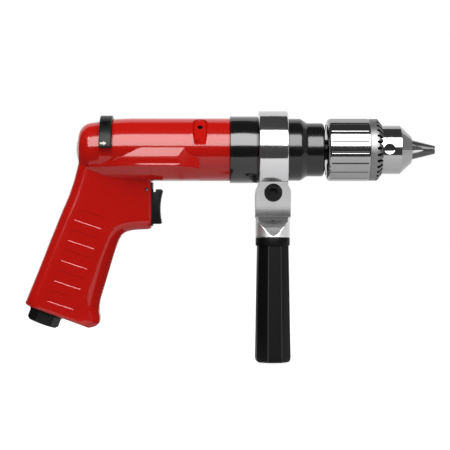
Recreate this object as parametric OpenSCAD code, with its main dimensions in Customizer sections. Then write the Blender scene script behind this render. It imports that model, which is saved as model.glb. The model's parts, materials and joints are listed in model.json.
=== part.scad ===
// Pistol-grip air drill with a keyed chuck and a clamped side handle.
// Origin on the spindle axis at the front face of the chuck, +X along the drill bit, +Z up.
// The side that carries the lock screw pocket faces -Y.

/* [Chuck] */
// Largest drill shank that the jaws take
shank_d = 13; // [10:0.5:13]
// Diameter of the chuck body in front of the sleeve
chuck_d = 35.8; // [35:0.1:37]
// Length of the chuck body
chuck_l = 62.6; // [62:0.1:66]
// Length of the cone at the nose of the chuck
nose_l = 8.5; // [7:0.1:9.5]
// Diameter of the nose face
nose_d = 19.8; // [19:0.1:21]
// Diameter of a jaw rod
jaw_d = 8.8; // [8:0.1:9]
// Lean of the jaws against the spindle axis, in degrees
jaw_lean = 12; // [11:0.1:12.2]
// How far the closed jaws stand out of the nose
jaw_reach = 17.5; // [14:0.1:20]
// Diameter of the closed jaws at the nose face
jaw_root_d = 14.5; // [13.5:0.1:15]
// Diameter of the closed jaws at their tips
jaw_tip_d = 5.9; // [4.5:0.1:7]
// Diameter of the hole that pilots the chuck key
key_d = 8; // [6:0.1:8.4]
// Distance from the nose face to the key holes
key_set = 17.6; // [16.5:0.1:17.8]
// Outside diameter of the toothed sleeve
sleeve_d = 46; // [45.8:0.1:50]
// Distance from the nose face to the front of the sleeve
sleeve_set = 22.1; // [22:0.1:23]
// Length of the sleeve
sleeve_l = 38.8; // [38:0.1:40]
// Length of the toothed ring at the front of the sleeve
tooth_ring_l = 9.5; // [7:0.1:11]
// Teeth on the sleeve
tooth_count = 30; // [24:1:36]
// Flutes along the sleeve
flute_count = 18; // [12:1:24]

/* [Spindle] */
// Diameter of the spindle in its bearings
spindle_d = 15; // [13:0.1:16]
// Diameter of the thread that carries the chuck
thread_d = 12.7; // [10:0.1:12.8]
// Outside diameter of the spindle bearings
spindle_bearing_d = 35; // [33:0.1:36]
// Width of a spindle bearing
spindle_bearing_w = 11; // [9:0.1:11.2]

/* [Gears] */
// Module of all gears
gear_module = 0.8; // [0.76:0.01:0.82]
// Teeth of both sun gears
sun_teeth = 12; // [12:6:12]
// Teeth of each planet gear
planet_teeth = 15; // [15:6:15]
// Face width of a planet gear
gear_w = 8; // [6:0.1:8.6]

/* [Gear case] */
// Diameter of the neck behind the chuck
neck_d = 39.3; // [39:0.1:41]
// Length of the neck
neck_l = 11.6; // [10:0.1:13]
// Diameter of the seat that the side handle clamps on
case_d = 45.7; // [44.5:0.1:47]
// Length of the curved shoulder between the neck and the seat
shoulder_l = 6.6; // [5:0.1:8]
// Length of the seat
seat_l = 30.4; // [29:0.1:32]
// Diameter of the collar at the rear of the case
collar_d = 49.2; // [48:0.1:52]
// Length of the collar
collar_l = 20.7; // [19:0.1:23]

/* [Motor] */
// Diameter of the motor cylinder and its end plates
motor_d = 35; // [34:0.1:35.2]
// Length of the motor cylinder
cylinder_l = 51; // [45:0.1:52]
// Diameter of the rotor
rotor_d = 26; // [24:0.1:26.4]
// Distance between the rotor axis and the cylinder bore axis
eccentric = 1.1; // [0.8:0.1:1.4]
// Vanes in the rotor
vane_count = 5; // [4:1:6]

/* [Housing] */
// Diameter of the barrel
barrel_d = 46.2; // [46:0.1:48]
// Length of the barrel from the gear case to its round end
barrel_l = 112.8; // [110:0.1:116]
// Diameter of the barrel behind the reverse lever
tail_d = 41.8; // [41:0.1:43]
// Width of the pocket that the lock screw sits in
pocket_w = 11; // [9:0.1:12]
// Distance from the barrel's front to the lock screw pocket
pocket_set = 21.7; // [20:0.1:30]

/* [Grip] */
// Height from the spindle axis down to the lowest point of the grip
grip_drop = 131; // [125:0.1:140]
// Length from the trigger face back to the rear of the grip
grip_reach = 92; // [90:0.1:96]
// Thickness of the grip from side to side
grip_w = 35; // [34:0.1:38]
// Thickness of the housing beside the trigger
trigger_face_w = 23; // [21.5:0.1:25]
// Distance from the barrel's front to the trigger face
trigger_face_set = 57.5; // [55:0.1:60]
// Slope of the grip's lower end, in degrees
grip_slope = 20.6; // [19:0.1:22]

/* [Trigger] */
// Height of the trigger
trigger_h = 25.5; // [23:0.1:27]
// Width of the trigger
trigger_w = 15; // [13:0.1:15.4]
// How far the trigger stands out of its plate
trigger_out = 8; // [7:0.1:10]
// How far the trigger travels
trigger_travel = 5; // [4:0.1:5.5]
// Depth of the trigger's centre below the spindle axis
trigger_drop = 42; // [41:0.1:43]

/* [Reverse lever] */
// Distance from the barrel's front to the middle of the lever
lever_set = 90.4; // [88:0.1:92]
// Width of the lever along the barrel
lever_w = 8.9; // [7:0.1:10]
// Radius of the lever's outer face
lever_r = 25.1; // [24.6:0.1:26]
// Arc that the lever covers, in degrees
lever_arc = 150; // [130:1:155]
// Turn between forward and reverse, in degrees
lever_turn = 30; // [20:1:30]

/* [Air inlet] */
// Hexagon of the inlet bushing across its flats
hex_af = 20.6; // [19:0.1:22]
// Length of the hexagon
hex_l = 8; // [6:0.1:10]
// Radius of the inlet's threaded bore
inlet_r = 5.7; // [5:0.1:6.5]
// Depth of the inlet's threaded bore
inlet_l = 22; // [20:0.1:25]
// Diameter of the inlet washer
washer_d = 25.6; // [25:0.1:27]

/* [Side handle] */
// Outside diameter of the clamp ring
clamp_d = 57.2; // [56:0.1:60]
// Width of the clamp ring along the barrel
clamp_w = 21.6; // [20:0.1:22]
// Width of the clamp's leg at the screw
leg_w = 26.1; // [25:0.1:28]
// Depth of the clamp screw below the spindle axis
screw_drop = 31.9; // [31.5:0.1:33]
// Diameter of the clamp screw's thread
screw_d = 8; // [6:0.1:8.2]
// Diameter of the clamp's round boss and of the grip's flange
boss_d = 25.3; // [24:0.1:26]
// Depth of the boss's lower end below the spindle axis
boss_drop = 64.6; // [62:0.1:68]
// Length of the side grip with its flange
side_grip_l = 92; // [80:0.1:105]
// Width of the side grip across its flats, at the flange
side_grip_top = 22.6; // [20:0.1:24]
// Width of the side grip across its flats, at its lower end
side_grip_low = 25.4; // [23:0.1:27]
// Diameter of the stud in the side grip
stud_d = 10; // [8:0.1:11]

/* [Hidden] */
$fn = 64;
// Overrun of every cut past the face that it starts from
over = 1;
// Radial room of a pressed or screwed piece
fit = 0.02;
// Radial room of a running fit
run = 0.05;
// Room between faces that move past each other
room = 0.3;

// Chuck, stations behind the nose face
chuck_r = chuck_d / 2;
sleeve_r = sleeve_d / 2;
jaw_angles = [30, 150, 270];
key_angles = [90, 210, 330];
jaw_r = jaw_d / 2;
jaw_slope = tan(jaw_lean);
jaw_cone_slope = (jaw_root_d - jaw_tip_d) / 2 / jaw_reach;
// Radius of the jaw rods' outer edge at the nose face
jaw_trim = 0.6;
jaw_edge_r = jaw_root_d / 2 + jaw_trim;
jaw_axis_r = jaw_edge_r - jaw_r;
sleeve_wall = 1.8;
sleeve_hollow_r = sleeve_r - sleeve_wall;
// The jaws' tails may swing out as far as the sleeve's hollow lets them
jaw_tail = (sleeve_hollow_r - room - jaw_edge_r - shank_d / 2) / jaw_slope;
jaw_gap = 0.15;
nose_edge = 0.5;
shank_room = 0.2;
shank_hole_r = shank_d / 2 + shank_room;
thread_r = thread_d / 2;
thread_l = 22.6;
bevel_l = 3.2;
tooth_depth = 1.5;
sleeve_chamfer = 1.2;
ring_step = 0.25;
flute_r = 0.9;
flute_depth = 0.45;
sleeve_front_l = 4.6;
nut_set = sleeve_set + sleeve_front_l;
nut_l = 8;
nut_core_in = 0.6;
nut_core_r = jaw_edge_r + jaw_slope * nut_set - nut_core_in;
key_depth = 9;
chuck_screw_d = 6;
chuck_screw_head_d = 8.4;
chuck_screw_head_l = 4;
chuck_screw_l = 20;
chuck_web = 2;

// Gear case and what it holds, stations along X
chuck_gap = 2;
case_front = -chuck_l - chuck_gap;
neck_back = case_front - neck_l;
shoulder_back = neck_back - shoulder_l;
collar_front = shoulder_back - seat_l;
case_back = collar_front - collar_l;
neck_edge = 2;
collar_chamfer = 0.9;
lip_l = 3.4;
seal_d = 24;
seal_l = 1.7;
clip_l = 1.1;
clip_d = 18.6;
spacer_l = 1.5;
spindle_r = spindle_d / 2;
bearing_front = case_front - lip_l;
bearing_mid = bearing_front - spindle_bearing_w;
bearing_rear = bearing_mid - spacer_l;
bearing_back = bearing_rear - spindle_bearing_w;
flange_l = 4.5;
flange_front = bearing_back - room;
flange_back = flange_front - flange_l;
output_front = flange_back - room;
output_back = output_front - gear_w;
carrier_l = 3.5;
carrier_front = output_back - room;
carrier_back = carrier_front - carrier_l;
input_front = carrier_back - room;
input_back = input_front - gear_w;
spigot_l = 11.9;
spigot_front = case_back + spigot_l;

// Gears
pressure_angle = 25;
addendum = 0.9 * gear_module;
dedendum = 1.25 * gear_module;
backlash = 0.075 * gear_module;
ring_teeth = sun_teeth + 2 * planet_teeth;
centre_r = gear_module * (sun_teeth + planet_teeth) / 2;
planet_angles = [0, 120, 240];
pin_r = 2.5;
pin_wall = 2.6;
flange_r = centre_r + pin_r + pin_wall;
ring_wall = 1.5;
ring_r = gear_module * ring_teeth / 2 + dedendum + ring_wall;
ring_set = 3;
ring_front = bearing_back - ring_set;

// Motor
motor_r = motor_d / 2;
motor_room = 0.1;
bore_r = motor_r + motor_room;
rotor_r = rotor_d / 2;
rotor_room = 0.2;
cylinder_bore_r = rotor_r + eccentric + rotor_room;
front_bearing_d = 28;
front_bearing_w = 8;
front_shaft_d = 12;
rear_bearing_d = 22;
rear_bearing_w = 7;
rear_shaft_d = 8;
plate_web = 2;
front_plate_front = spigot_front - room;
cylinder_front = front_plate_front - front_bearing_w - plate_web;
cylinder_back = cylinder_front - cylinder_l;
rear_plate_back = cylinder_back - rear_bearing_w - plate_web;
vane_t = 2;
vane_h = 5.6;
vane_slot_h = 6;
port_r = 2.2;

// Housing
barrel_r = barrel_d / 2;
tail_r = tail_d / 2;
spigot_wall = 1.6;
spigot_r = ring_r + spigot_wall;
barrel_back = case_back - barrel_l;
dome_r = 10.4;
dome_rise = 1.7;
lever_x = case_back - lever_set;
groove_rise = 0.5;
groove_r = tail_r + groove_rise;
lever_room = 0.1;
lever_inner_r = groove_r + lever_room;
taper_l = 14;
taper_drop = 0.6;
lever_front_r = barrel_r - taper_drop;
valve_gap = 1.2;
valve_front = rear_plate_back - valve_gap;
valve_tail_l = 4.2;
valve_back = lever_x - lever_w / 2 - valve_tail_l;
bore_back = valve_back - room;
valve_inner_r = 11;
lever_screw_r = 1.6;
lever_screw_head_r = 2.6;
lever_screw_head_l = 1.4;
lever_screw_in = 3.4;
lever_screw_angles = [-28, 28];
// The photographed place of the lever is forward, with its near end down
lever_middle = lever_turn / 2;

// Lock screw pocket, in a frame turned about X so that its floor is level
pocket_turn = 50;
pocket_wall = 1.7;
pocket_floor = motor_r + pocket_wall;
pocket_round = 7.1;
pocket_x = case_back - pocket_set;
lock_r = 2;
lock_out = 4.65;
lock_l = 3;
lock_sunk = 0.6;
lock_socket_r = 1.15;
lock_socket_l = 1.4;

// Hip that overhangs the grip on both sides: its half outline, and how it narrows to the rear
hip_y_shares = [0.944, 0.978, 1.056, 1.039, 0.978, 0.52];
hip_z_shares = [0.216, 0.13, -0.39, -0.485, -0.545, -0.887];
hip_x_shares = [0.905, 0.85, 0.78, 0.69, 0.58, 0.21];
hip_out_shares = [0.86, 0.955, 0.985, 0.995, 1, 1];
// Its front end is cut off on a slant, through a point beside the axis
hip_nose_share = 0.267;
hip_nose_z = 1.3;
hip_nose_lean = 40.6;

// Grip, as level sections: depth, rear, front, thickness, squareness, narrowing at the trigger
face_x = case_back - trigger_face_set;
neck_x = face_x - 0.42 * grip_reach;
grip_sides = 32;
grip_section_shares = [
    [0.03, 0.586, 0.04, 0.90, 3.0, 1],
    [0.06, 0.588, 0.02, 0.90, 3.0, 1],
    [0.12, 0.594, 0, 0.92, 3.2, 1],
    [0.165, 0.612, 0, 0.92, 3.4, 1],
    [0.245, 0.647, 0, 0.93, 3.6, 1],
    [0.30, 0.684, 0, 0.94, 3.6, 1],
    [0.385, 0.733, 0, 0.95, 3.6, 1],
    [0.42, 0.752, 0, 0.955, 3.6, 1.12],
    [0.437, 0.762, 0.004, 0.96, 3.6, 1.25],
    [0.446, 0.766, 0.02, 0.96, 3.6, 1.35],
    [0.4505, 0.769, 0.06, 0.962, 3.6, 1.4],
    [0.4535, 0.771, 0.15, 0.962, 3.4, 1.42],
    [0.466, 0.779, 0.218, 0.965, 3.2, 1.2],
    [0.49, 0.792, 0.25, 0.975, 3, 0.6],
    [0.53, 0.812, 0.274, 0.985, 3, 0.2],
    [0.67, 0.893, 0.338, 1, 3, 0],
    [0.79, 0.962, 0.386, 1, 3, 0],
    [0.85, 0.997, 0.414, 1, 3, 0],
    [0.90, 1.026, 0.42, 1, 3, 0],
    [0.963, 1.062, 0.408, 1, 3, 0],
    [0.99, 1.078, 0.424, 0.985, 3, 0],
    [1, 1.084, 0.455, 0.95, 3, 0],
];
panel_count = 5;
panel_l = 19.8;
panel_h = 9;
panel_pitch = 15.5;
panel_floor_shares = [0.9, 0.925, 0.942, 0.95, 0.95];
panel_x = face_x - 0.485 * grip_reach;
panel_z = -0.39 * grip_drop;
panel_lean = 18.5;

// Air passages, in a frame at the inlet that leans with the grip's lower end
inlet_x = face_x - 0.8385 * grip_reach;
inlet_z = -0.906 * grip_drop;
shank_r = 9;
shank_l = 15;
washer_l = 1.6;
washer_bore_r = shank_r + run;
supply_r = 4.5;
supply_l = 80;
screen_r = 3.9;
screen_l = 12;
screen_lip_l = 0.6;
screen_t = 0.5;
exhaust_out = 19.8;
exhaust_r = 5.5;
exhaust_l = 58;
exhaust_side_r = 2.6;
exhaust_side_y = 10.2;
exhaust_side_l = 122;
muffler_l = 34;
muffler_sunk = 3;

// Trigger and throttle, along a bore parallel to X
trigger_z = -trigger_drop;
plate_t = 1.6;
plate_sunk = 0.6;
plate_margin = 4.6;
plate_w = trigger_face_w - plate_margin;
plate_h = 32;
plate_rise = 1.8;
plate_z = trigger_z + plate_rise;
plate_front = face_x + plate_t - plate_sunk;
trigger_tip = plate_front + trigger_out;
trigger_in = 14;
trigger_back = face_x - trigger_in;
trigger_scoop_r = 45;
trigger_scoop = 2.6;
trigger_pin_r = 1.3;
pin_margin = 1.8;
pin_in = 3.3;
pin_drop = 0.3;
trigger_pin_l = trigger_face_w - pin_margin;
trigger_pin_x = face_x - pin_in;
trigger_pin_z = trigger_z + trigger_h / 2 - pin_drop;
throttle_r = 7;
stem_r = 2.5;
stem_in = 6;
bush_sunk = 1;
bush_front = trigger_back - trigger_travel - bush_sunk;
bush_l = 6;
o_ring_r = 1;
feed_l = 4;
seat_front = bush_front - bush_l - feed_l;
valve_seat_l = 4;
seat_back = seat_front - valve_seat_l;
seat_hole_r = 4;
valve_r = 5.8;
valve_l = 3.6;
valve_nub_r = 2;
valve_guide_l = 4;
spring_space = 16;
chamber_back = seat_back - valve_l - spring_space;
stem_short = 1.6;
stem_back = seat_back + stem_short;
spring_wire_r = 0.45;
spring_mean_r = 3.8;
spring_turns = 6;
feed_r = 2.8;

// Side handle
clamp_back = collar_front + room;
clamp_front = clamp_back + clamp_w;
clamp_x = (clamp_back + clamp_front) / 2;
clamp_bore_r = case_d / 2 + run;
clamp_r = clamp_d / 2;
clamp_edge = 1;
leg_t = 16;
leg_low = 50;
leg_wide = 32.5;
leg_scoop_r = 46;
boss_scoop_r = 17.8;
slot_w = 2.5;
slot_low = 43;
screw_r = screw_d / 2;
screw_head_r = screw_r * 1.625;
screw_head_l = screw_d;
screw_socket_af = screw_d * 0.75;
screw_socket_l = screw_d * 0.5;
screw_out = 13;
screw_far = 10;
boss_r = boss_d / 2;
stud_r = stud_d / 2;
stud_top = 52;
stud_end = 12;
grip_flange_l = 6;
grip_end_l = 3;
grip_end_in = 4;
grip_turn = 5.5;

red = [0.78, 0.07, 0.05];
black = [0.1, 0.1, 0.11];
steel = [0.7, 0.71, 0.72];
alloy = [0.8, 0.81, 0.83];
dark_steel = [0.2, 0.2, 0.21];
brass = [0.75, 0.6, 0.3];

// Shapes that many pieces share

// A round shape about the X axis, from points of radius and x
module lathe(profile) rotate([0, 90, 0]) rotate_extrude() polygon(profile);

// A rod on the X axis between two stations
module rod(r, back, front) translate([back, 0, 0]) rotate([0, 90, 0]) cylinder(r = r, h = front - back);

// A ring on the X axis between two stations
module ring(outer, inner, back, front) {
    difference() {
        rod(outer, back, front);
        rod(inner, back - over, front + over);
    }
}

// A sealed ball bearing, with its two shields set in
module ball_bearing(outer, inner, back, front) {
    shield_in = (front - back) * 0.08;
    race = (outer - inner) * 0.24;
    difference() {
        ring(outer - fit, inner, back, front);
        ring(outer - race, inner + race, front - shield_in, front + over);
        ring(outer - race, inner + race, back - over, back + shield_in);
    }
}

// Copies turned about the X axis
module around(angles) for (a = angles) rotate([a, 0, 0]) children();

// A box centred on Y
module slab(back, front, width, low, high) {
    translate([back, -width / 2, low]) cube([front - back, width, high - low]);
}

// A solid through a list of rings of points, closed at both ends
module loft(rings) {
    count = len(rings[0]);
    last = len(rings) - 1;
    polyhedron(
        points = [for (r = rings) each r],
        faces = concat(
            [for (k = [0:last - 1], i = [0:count - 1]) let (j = (i + 1) % count)
                [k * count + i, k * count + j, (k + 1) * count + i]],
            [for (k = [0:last - 1], i = [0:count - 1]) let (j = (i + 1) % count)
                [k * count + j, (k + 1) * count + j, (k + 1) * count + i]],
            [[for (i = [count - 1:-1:0]) i]],
            [[for (i = [0:count - 1]) last * count + i]]
        )
    );
}

// Points of an arc in a plane
function arc(centre, r, from, to, steps) = [
    for (i = [0:steps]) let (a = from + (to - from) * i / steps) centre + r * [cos(a), sin(a)]
];

// Gears

function involute(base, r) = let (a = acos(min(1, base / r))) tan(a) * 180 / PI - a;

// Outline of a gear with a tooth at angle 0; slack widens or narrows its teeth
function gear_points(teeth, root, tip, slack) = let (
    pitch = gear_module * teeth / 2,
    base = pitch * cos(pressure_angle),
    start = max(base, root),
    half = 90 / teeth + slack / pitch * 180 / PI + involute(base, pitch),
    flank = [for (i = [0:4]) start + (tip - start) * i / 4]
) [
    for (k = [0:teeth - 1]) each concat(
        root < start ? [polar(root, 360 * k / teeth - half)] : [],
        [for (r = flank) polar(r, 360 * k / teeth - half + involute(base, r))],
        [for (i = [4:-1:0]) polar(flank[i], 360 * k / teeth + half - involute(base, flank[i]))],
        root < start ? [polar(root, 360 * k / teeth + half)] : []
    )
];

function polar(r, a) = r * [cos(a), sin(a)];

// A gear outline stretched along X; its angle 0 points along +Z
module gear_prism(points, back, front) {
    translate([back, 0, 0]) rotate([0, 90, 0]) rotate([0, 0, 180])
        linear_extrude(front - back) polygon(points);
}

module sun_gear(back, front) {
    pitch = gear_module * sun_teeth / 2;
    gear_prism(gear_points(sun_teeth, pitch - dedendum, pitch + addendum, -backlash), back, front);
}

module planet_gear(angle, back, front) {
    pitch = gear_module * planet_teeth / 2;
    points = gear_points(planet_teeth, pitch - dedendum, pitch + addendum, -backlash);
    rotate([angle, 0, 0]) translate([0, 0, centre_r]) {
        difference() {
            gear_prism(points, back, front);
            rod(pin_r + run, back - over, front + over);
        }
    }
}

module planet_pins(back, front) around(planet_angles) translate([0, 0, centre_r]) rod(pin_r, back, front);

// Chuck

// A jaw rod's bore or body, from the tail at the back to a point past the nose
module jaw_rod(r, tail, front) {
    translate([0, 0, jaw_axis_r]) rotate([0, 90 + jaw_lean, 0])
        translate([0, 0, -tail / cos(jaw_lean)])
            cylinder(r = r, h = (tail + front) / cos(jaw_lean));
}

module chuck_jaw(angle) {
    tail_r = jaw_root_d / 2 + jaw_cone_slope * jaw_tail;
    wedge = jaw_edge_r + jaw_slope * jaw_tail + over;
    color(steel) rotate([angle, 0, 0]) intersection() {
        jaw_rod(jaw_r, jaw_tail + over, jaw_reach + over);
        lathe([[0, -jaw_tail], [tail_r, -jaw_tail], [jaw_tip_d / 2, jaw_reach], [0, jaw_reach]]);
        translate([-jaw_tail - over, 0, jaw_gap * 2]) rotate([0, 90, 0]) rotate([0, 0, 180])
            linear_extrude(jaw_tail + jaw_reach + 2 * over)
                polygon([[0, 0], polar(2 * wedge, 60), polar(2 * wedge, -60)]);
    }
}

module chuck_body() {
    nut_back = nut_set + nut_l + room;
    color(steel) difference() {
        lathe([
            [0, 0], [nose_d / 2, 0], [nose_d / 2 + nose_edge, -nose_edge], [chuck_r, -nose_l],
            [chuck_r, room - nut_set], [nut_core_r, room - nut_set], [nut_core_r, -nut_back],
            [chuck_r - room, -nut_back], [chuck_r - room, -chuck_l], [0, -chuck_l]
        ]);
        rod(shank_hole_r, chuck_web + thread_l - chuck_l, over);
        rod(chuck_screw_d / 2 + fit, -chuck_l, 0);
        rod(thread_r + fit, -chuck_l - over, thread_l - chuck_l);
        around(jaw_angles) jaw_rod(jaw_r + run, chuck_l + over, over);
        around(key_angles) translate([-key_set, 0, chuck_r - key_depth])
            cylinder(d = key_d, h = key_depth + over);
    }
}

module chuck_sleeve() {
    back = -sleeve_set - sleeve_l;
    bevel_r = chuck_r + run + 0.15 * (sleeve_r - chuck_r);
    ring_r_outer = sleeve_r - ring_step;
    ring_back = -sleeve_set - tooth_ring_l;
    bevel_angle = atan2(ring_r_outer - bevel_r, bevel_l);
    color(steel) difference() {
        lathe([
            [chuck_r + run, -sleeve_set], [bevel_r, -sleeve_set], [ring_r_outer, -sleeve_set - bevel_l],
            [ring_r_outer, ring_back], [sleeve_r, ring_back - ring_step], [sleeve_r, back + sleeve_chamfer],
            [sleeve_r - sleeve_chamfer, back], [sleeve_hollow_r, back], [sleeve_hollow_r, -nut_set],
            [chuck_r + run, -nut_set]
        ]);
        for (i = [0:flute_count - 1]) rotate([360 * (i + 0.5) / flute_count, 0, 0])
            translate([0, 0, sleeve_r + flute_r - flute_depth])
                rod(flute_r, back - over, ring_back - ring_step);
        for (i = [0:tooth_count - 1]) rotate([360 * i / tooth_count, 0, 0])
            translate([-sleeve_set, 0, bevel_r]) rotate([0, -bevel_angle, 0])
                translate([-tooth_depth * 3, 0, 0])
                tooth_notch();
    }
}

// A vee cut along the bevelled edge of the sleeve
module tooth_notch() {
    half = PI * chuck_r / tooth_count * 0.62;
    length = (sleeve_r - chuck_r) * 3;
    rotate([90, 0, 90]) translate([0, 0, -length / 2]) linear_extrude(length)
        polygon([[0, -tooth_depth], [half, tooth_depth * 0.6], [-half, tooth_depth * 0.6]]);
}

module chuck_nut() {
    edge = jaw_edge_r + room;
    back = -nut_set - nut_l;
    color(dark_steel) lathe([
        [edge + jaw_slope * nut_set, -nut_set], [sleeve_hollow_r - fit, -nut_set],
        [sleeve_hollow_r - fit, back], [edge - jaw_slope * back, back]
    ]);
}

module chuck_screw() {
    seat = chuck_web + thread_l - chuck_l;
    color(dark_steel) difference() {
        union() {
            rod(chuck_screw_head_d / 2, seat, seat + chuck_screw_head_l);
            rod(chuck_screw_d / 2, seat - chuck_screw_l, seat + fit);
        }
        translate([seat + chuck_screw_head_l / 2, 0, 0]) rotate([0, 90, 0])
            cylinder(d = chuck_screw_d * 0.75, h = chuck_screw_head_l, $fn = 6);
    }
}

// Spindle and gears

module spindle() {
    color(steel) difference() {
        union() {
            rod(thread_r, -chuck_l, thread_l - chuck_l);
            rod(spindle_r, flange_front, -chuck_l);
            rod(flange_r, flange_back, flange_front);
        }
        rod(chuck_screw_d / 2 + fit, chuck_web + thread_l - chuck_l - chuck_screw_l - over,
            thread_l - chuck_l + over);
        around(planet_angles) translate([0, 0, centre_r])
            rod(pin_r + fit, flange_back - over, flange_front + over);
    }
}

module output_planet_pins() color(dark_steel) planet_pins(output_back, flange_front);
module input_planet_pins() color(dark_steel) planet_pins(input_back, carrier_front);
module output_planet(angle) color(steel) planet_gear(angle, output_back, output_front);
module input_planet(angle) color(steel) planet_gear(angle, input_back, input_front);

module input_carrier() {
    color(steel) difference() {
        union() {
            rod(flange_r, carrier_back, carrier_front);
            sun_gear(carrier_front - over, output_front);
        }
        around(planet_angles) translate([0, 0, centre_r])
            rod(pin_r + fit, carrier_back - over, carrier_front + over);
    }
}

module ring_gear() {
    pitch = gear_module * ring_teeth / 2;
    points = gear_points(ring_teeth, pitch - addendum, pitch + dedendum, backlash);
    color(dark_steel) difference() {
        rod(ring_r, spigot_front, ring_front);
        gear_prism(points, spigot_front - over, ring_front + over);
    }
}

module front_spindle_bearing() {
    color(steel) ball_bearing(spindle_bearing_d / 2, spindle_r + run, bearing_mid, bearing_front);
}

module rear_spindle_bearing() {
    color(steel) ball_bearing(spindle_bearing_d / 2, spindle_r + run, bearing_back, bearing_rear);
}

module bearing_spacer() {
    outer = spindle_bearing_d / 2 - fit;
    color(steel) ring(outer, outer - 3 * spacer_l, bearing_rear, bearing_mid);
}

module spindle_seal() {
    front = case_front - (lip_l - clip_l - seal_l) / 2;
    color(black) ring(seal_d / 2 - fit, spindle_r + run, front - seal_l, front);
}

module spindle_clip() {
    color(dark_steel) ring(clip_d / 2, spindle_r + fit, bearing_front + room, bearing_front + clip_l);
}

module gear_case() {
    neck_r = neck_d / 2;
    seat_r = case_d / 2;
    collar_r = collar_d / 2;
    rise = (seat_r - neck_r) / 2;
    bearing_r = spindle_bearing_d / 2;
    s_curve = [for (i = [0:8]) let (a = 180 * i / 8)
        [neck_r + rise * (1 - cos(a)), neck_back - shoulder_l * i / 8]];
    color(black) difference() {
        lathe(concat(
            [[0, case_front]],
            [for (p = arc([neck_r - neck_edge, case_front - neck_edge], neck_edge, 90, 0, 6)) p],
            s_curve,
            [[seat_r, collar_front], [collar_r - collar_chamfer, collar_front],
                [collar_r, collar_front - collar_chamfer], [collar_r, case_back + collar_chamfer],
                [collar_r - collar_chamfer, case_back], [0, case_back]]
        ));
        rod(seal_d / 2, bearing_front - over, case_front + over);
        rod(bearing_r, ring_front - over, bearing_front);
        rod(ring_r + fit, spigot_front - over, ring_front);
        rod(spigot_r + run, case_back - over, spigot_front);
    }
}

// Motor

module motor_cylinder() {
    color(steel) difference() {
        rod(motor_r, cylinder_back, cylinder_front);
        translate([0, 0, -eccentric]) rod(cylinder_bore_r, cylinder_back - over, cylinder_front + over);
        lock_screw_space(lock_r + run, 0);
        for (side = [-1, 1]) translate([(cylinder_front + cylinder_back) / 2, 0, 0])
            rotate([180 + 40 * side, 0, 0]) cylinder(r = port_r, h = motor_r + over);
    }
}

module rotor() {
    front = cylinder_front - room;
    back = cylinder_back + room;
    color(steel) difference() {
        union() {
            rod(rotor_r, back, front);
            rod(front_shaft_d / 2, front - over, input_back - room);
            rod(rear_shaft_d / 2, rear_plate_back, back + over);
            sun_gear(input_back - room - over, input_front);
        }
        for (i = [0:vane_count - 1]) rotate([360 * i / vane_count, 0, 0])
            slab(back - over, front + over, vane_t + 2 * run, rotor_r - vane_slot_h, rotor_r + over);
    }
}

module rotor_vanes() {
    color(brass) for (i = [0:vane_count - 1]) rotate([360 * i / vane_count, 0, 0])
        slab(cylinder_back + room, cylinder_front - room, vane_t, rotor_r - vane_h, rotor_r - run);
}

module front_end_plate() {
    color(steel) difference() {
        rod(motor_r, cylinder_front, front_plate_front);
        rod(front_bearing_d / 2, cylinder_front + plate_web, front_plate_front + over);
        rod(front_shaft_d / 2 + room, cylinder_front - over, front_plate_front);
    }
}

module front_rotor_bearing() {
    color(steel) ball_bearing(
        front_bearing_d / 2, front_shaft_d / 2 + run, cylinder_front + plate_web, front_plate_front
    );
}

module rear_end_plate() {
    color(steel) difference() {
        rod(motor_r, rear_plate_back, cylinder_back);
        rod(rear_bearing_d / 2, rear_plate_back - over, cylinder_back - plate_web);
        rod(rear_shaft_d / 2 + room, rear_plate_back, cylinder_back + over);
        around([150, 210]) translate([0, 0, (motor_r + rear_bearing_d / 2) / 2])
            rod(port_r, rear_plate_back - over, cylinder_back + over);
    }
}

module rear_rotor_bearing() {
    color(steel) ball_bearing(
        rear_bearing_d / 2, rear_shaft_d / 2 + run, rear_plate_back, cylinder_back - plate_web
    );
}

// Reverse gear

module lever_screw_holes(r, inner, outer) {
    around([for (a = lever_screw_angles) a + lever_middle])
        translate([lever_x, 0, inner]) cylinder(r = r, h = outer - inner);
}

module reverse_lever() {
    half = lever_w / 2;
    edge = lever_w * 0.12;
    color(black) difference() {
        rotate([lever_middle - lever_arc / 2, 0, 0]) rotate([0, 90, 0]) rotate([0, 0, 180])
            rotate_extrude(angle = lever_arc) polygon([
                [lever_inner_r, lever_x - half], [lever_r - edge, lever_x - half],
                [lever_r, lever_x - half + edge], [lever_r, lever_x + half - edge],
                [lever_r - edge, lever_x + half], [lever_inner_r, lever_x + half]
            ]);
        lever_screw_holes(lever_screw_r + fit, lever_inner_r - over, lever_r + over);
        lever_screw_holes(lever_screw_head_r + fit, lever_r - lever_screw_head_l, lever_r + over);
    }
}

module lever_screws() {
    color(dark_steel) difference() {
        union() {
            lever_screw_holes(lever_screw_r, motor_r - lever_screw_in, lever_r - lever_screw_head_l + fit);
            lever_screw_holes(lever_screw_head_r, lever_r - lever_screw_head_l, lever_r - room);
        }
        lever_screw_holes(lever_screw_r * 0.6, lever_r - lever_screw_head_l * 0.8, lever_r + over);
    }
}

module reverse_valve() {
    color(steel) difference() {
        ring(motor_r, valve_inner_r, valve_back, valve_front);
        lever_screw_holes(lever_screw_r + fit, motor_r - lever_screw_in, motor_r + over);
        around([150, 210]) translate([valve_front - port_r * 2, 0, valve_inner_r - over])
            cylinder(r = port_r, h = motor_r);
    }
}

// Housing

module in_pocket() translate([pocket_x, 0, 0]) rotate([pocket_turn, 0, 0]) children();

module pocket() {
    in_pocket() {
        translate([0, pocket_round, pocket_floor]) cylinder(d = pocket_w, h = barrel_r);
        translate([-pocket_w / 2, -barrel_r, pocket_floor])
            cube([pocket_w, barrel_r + pocket_round, barrel_r]);
    }
}

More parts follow.
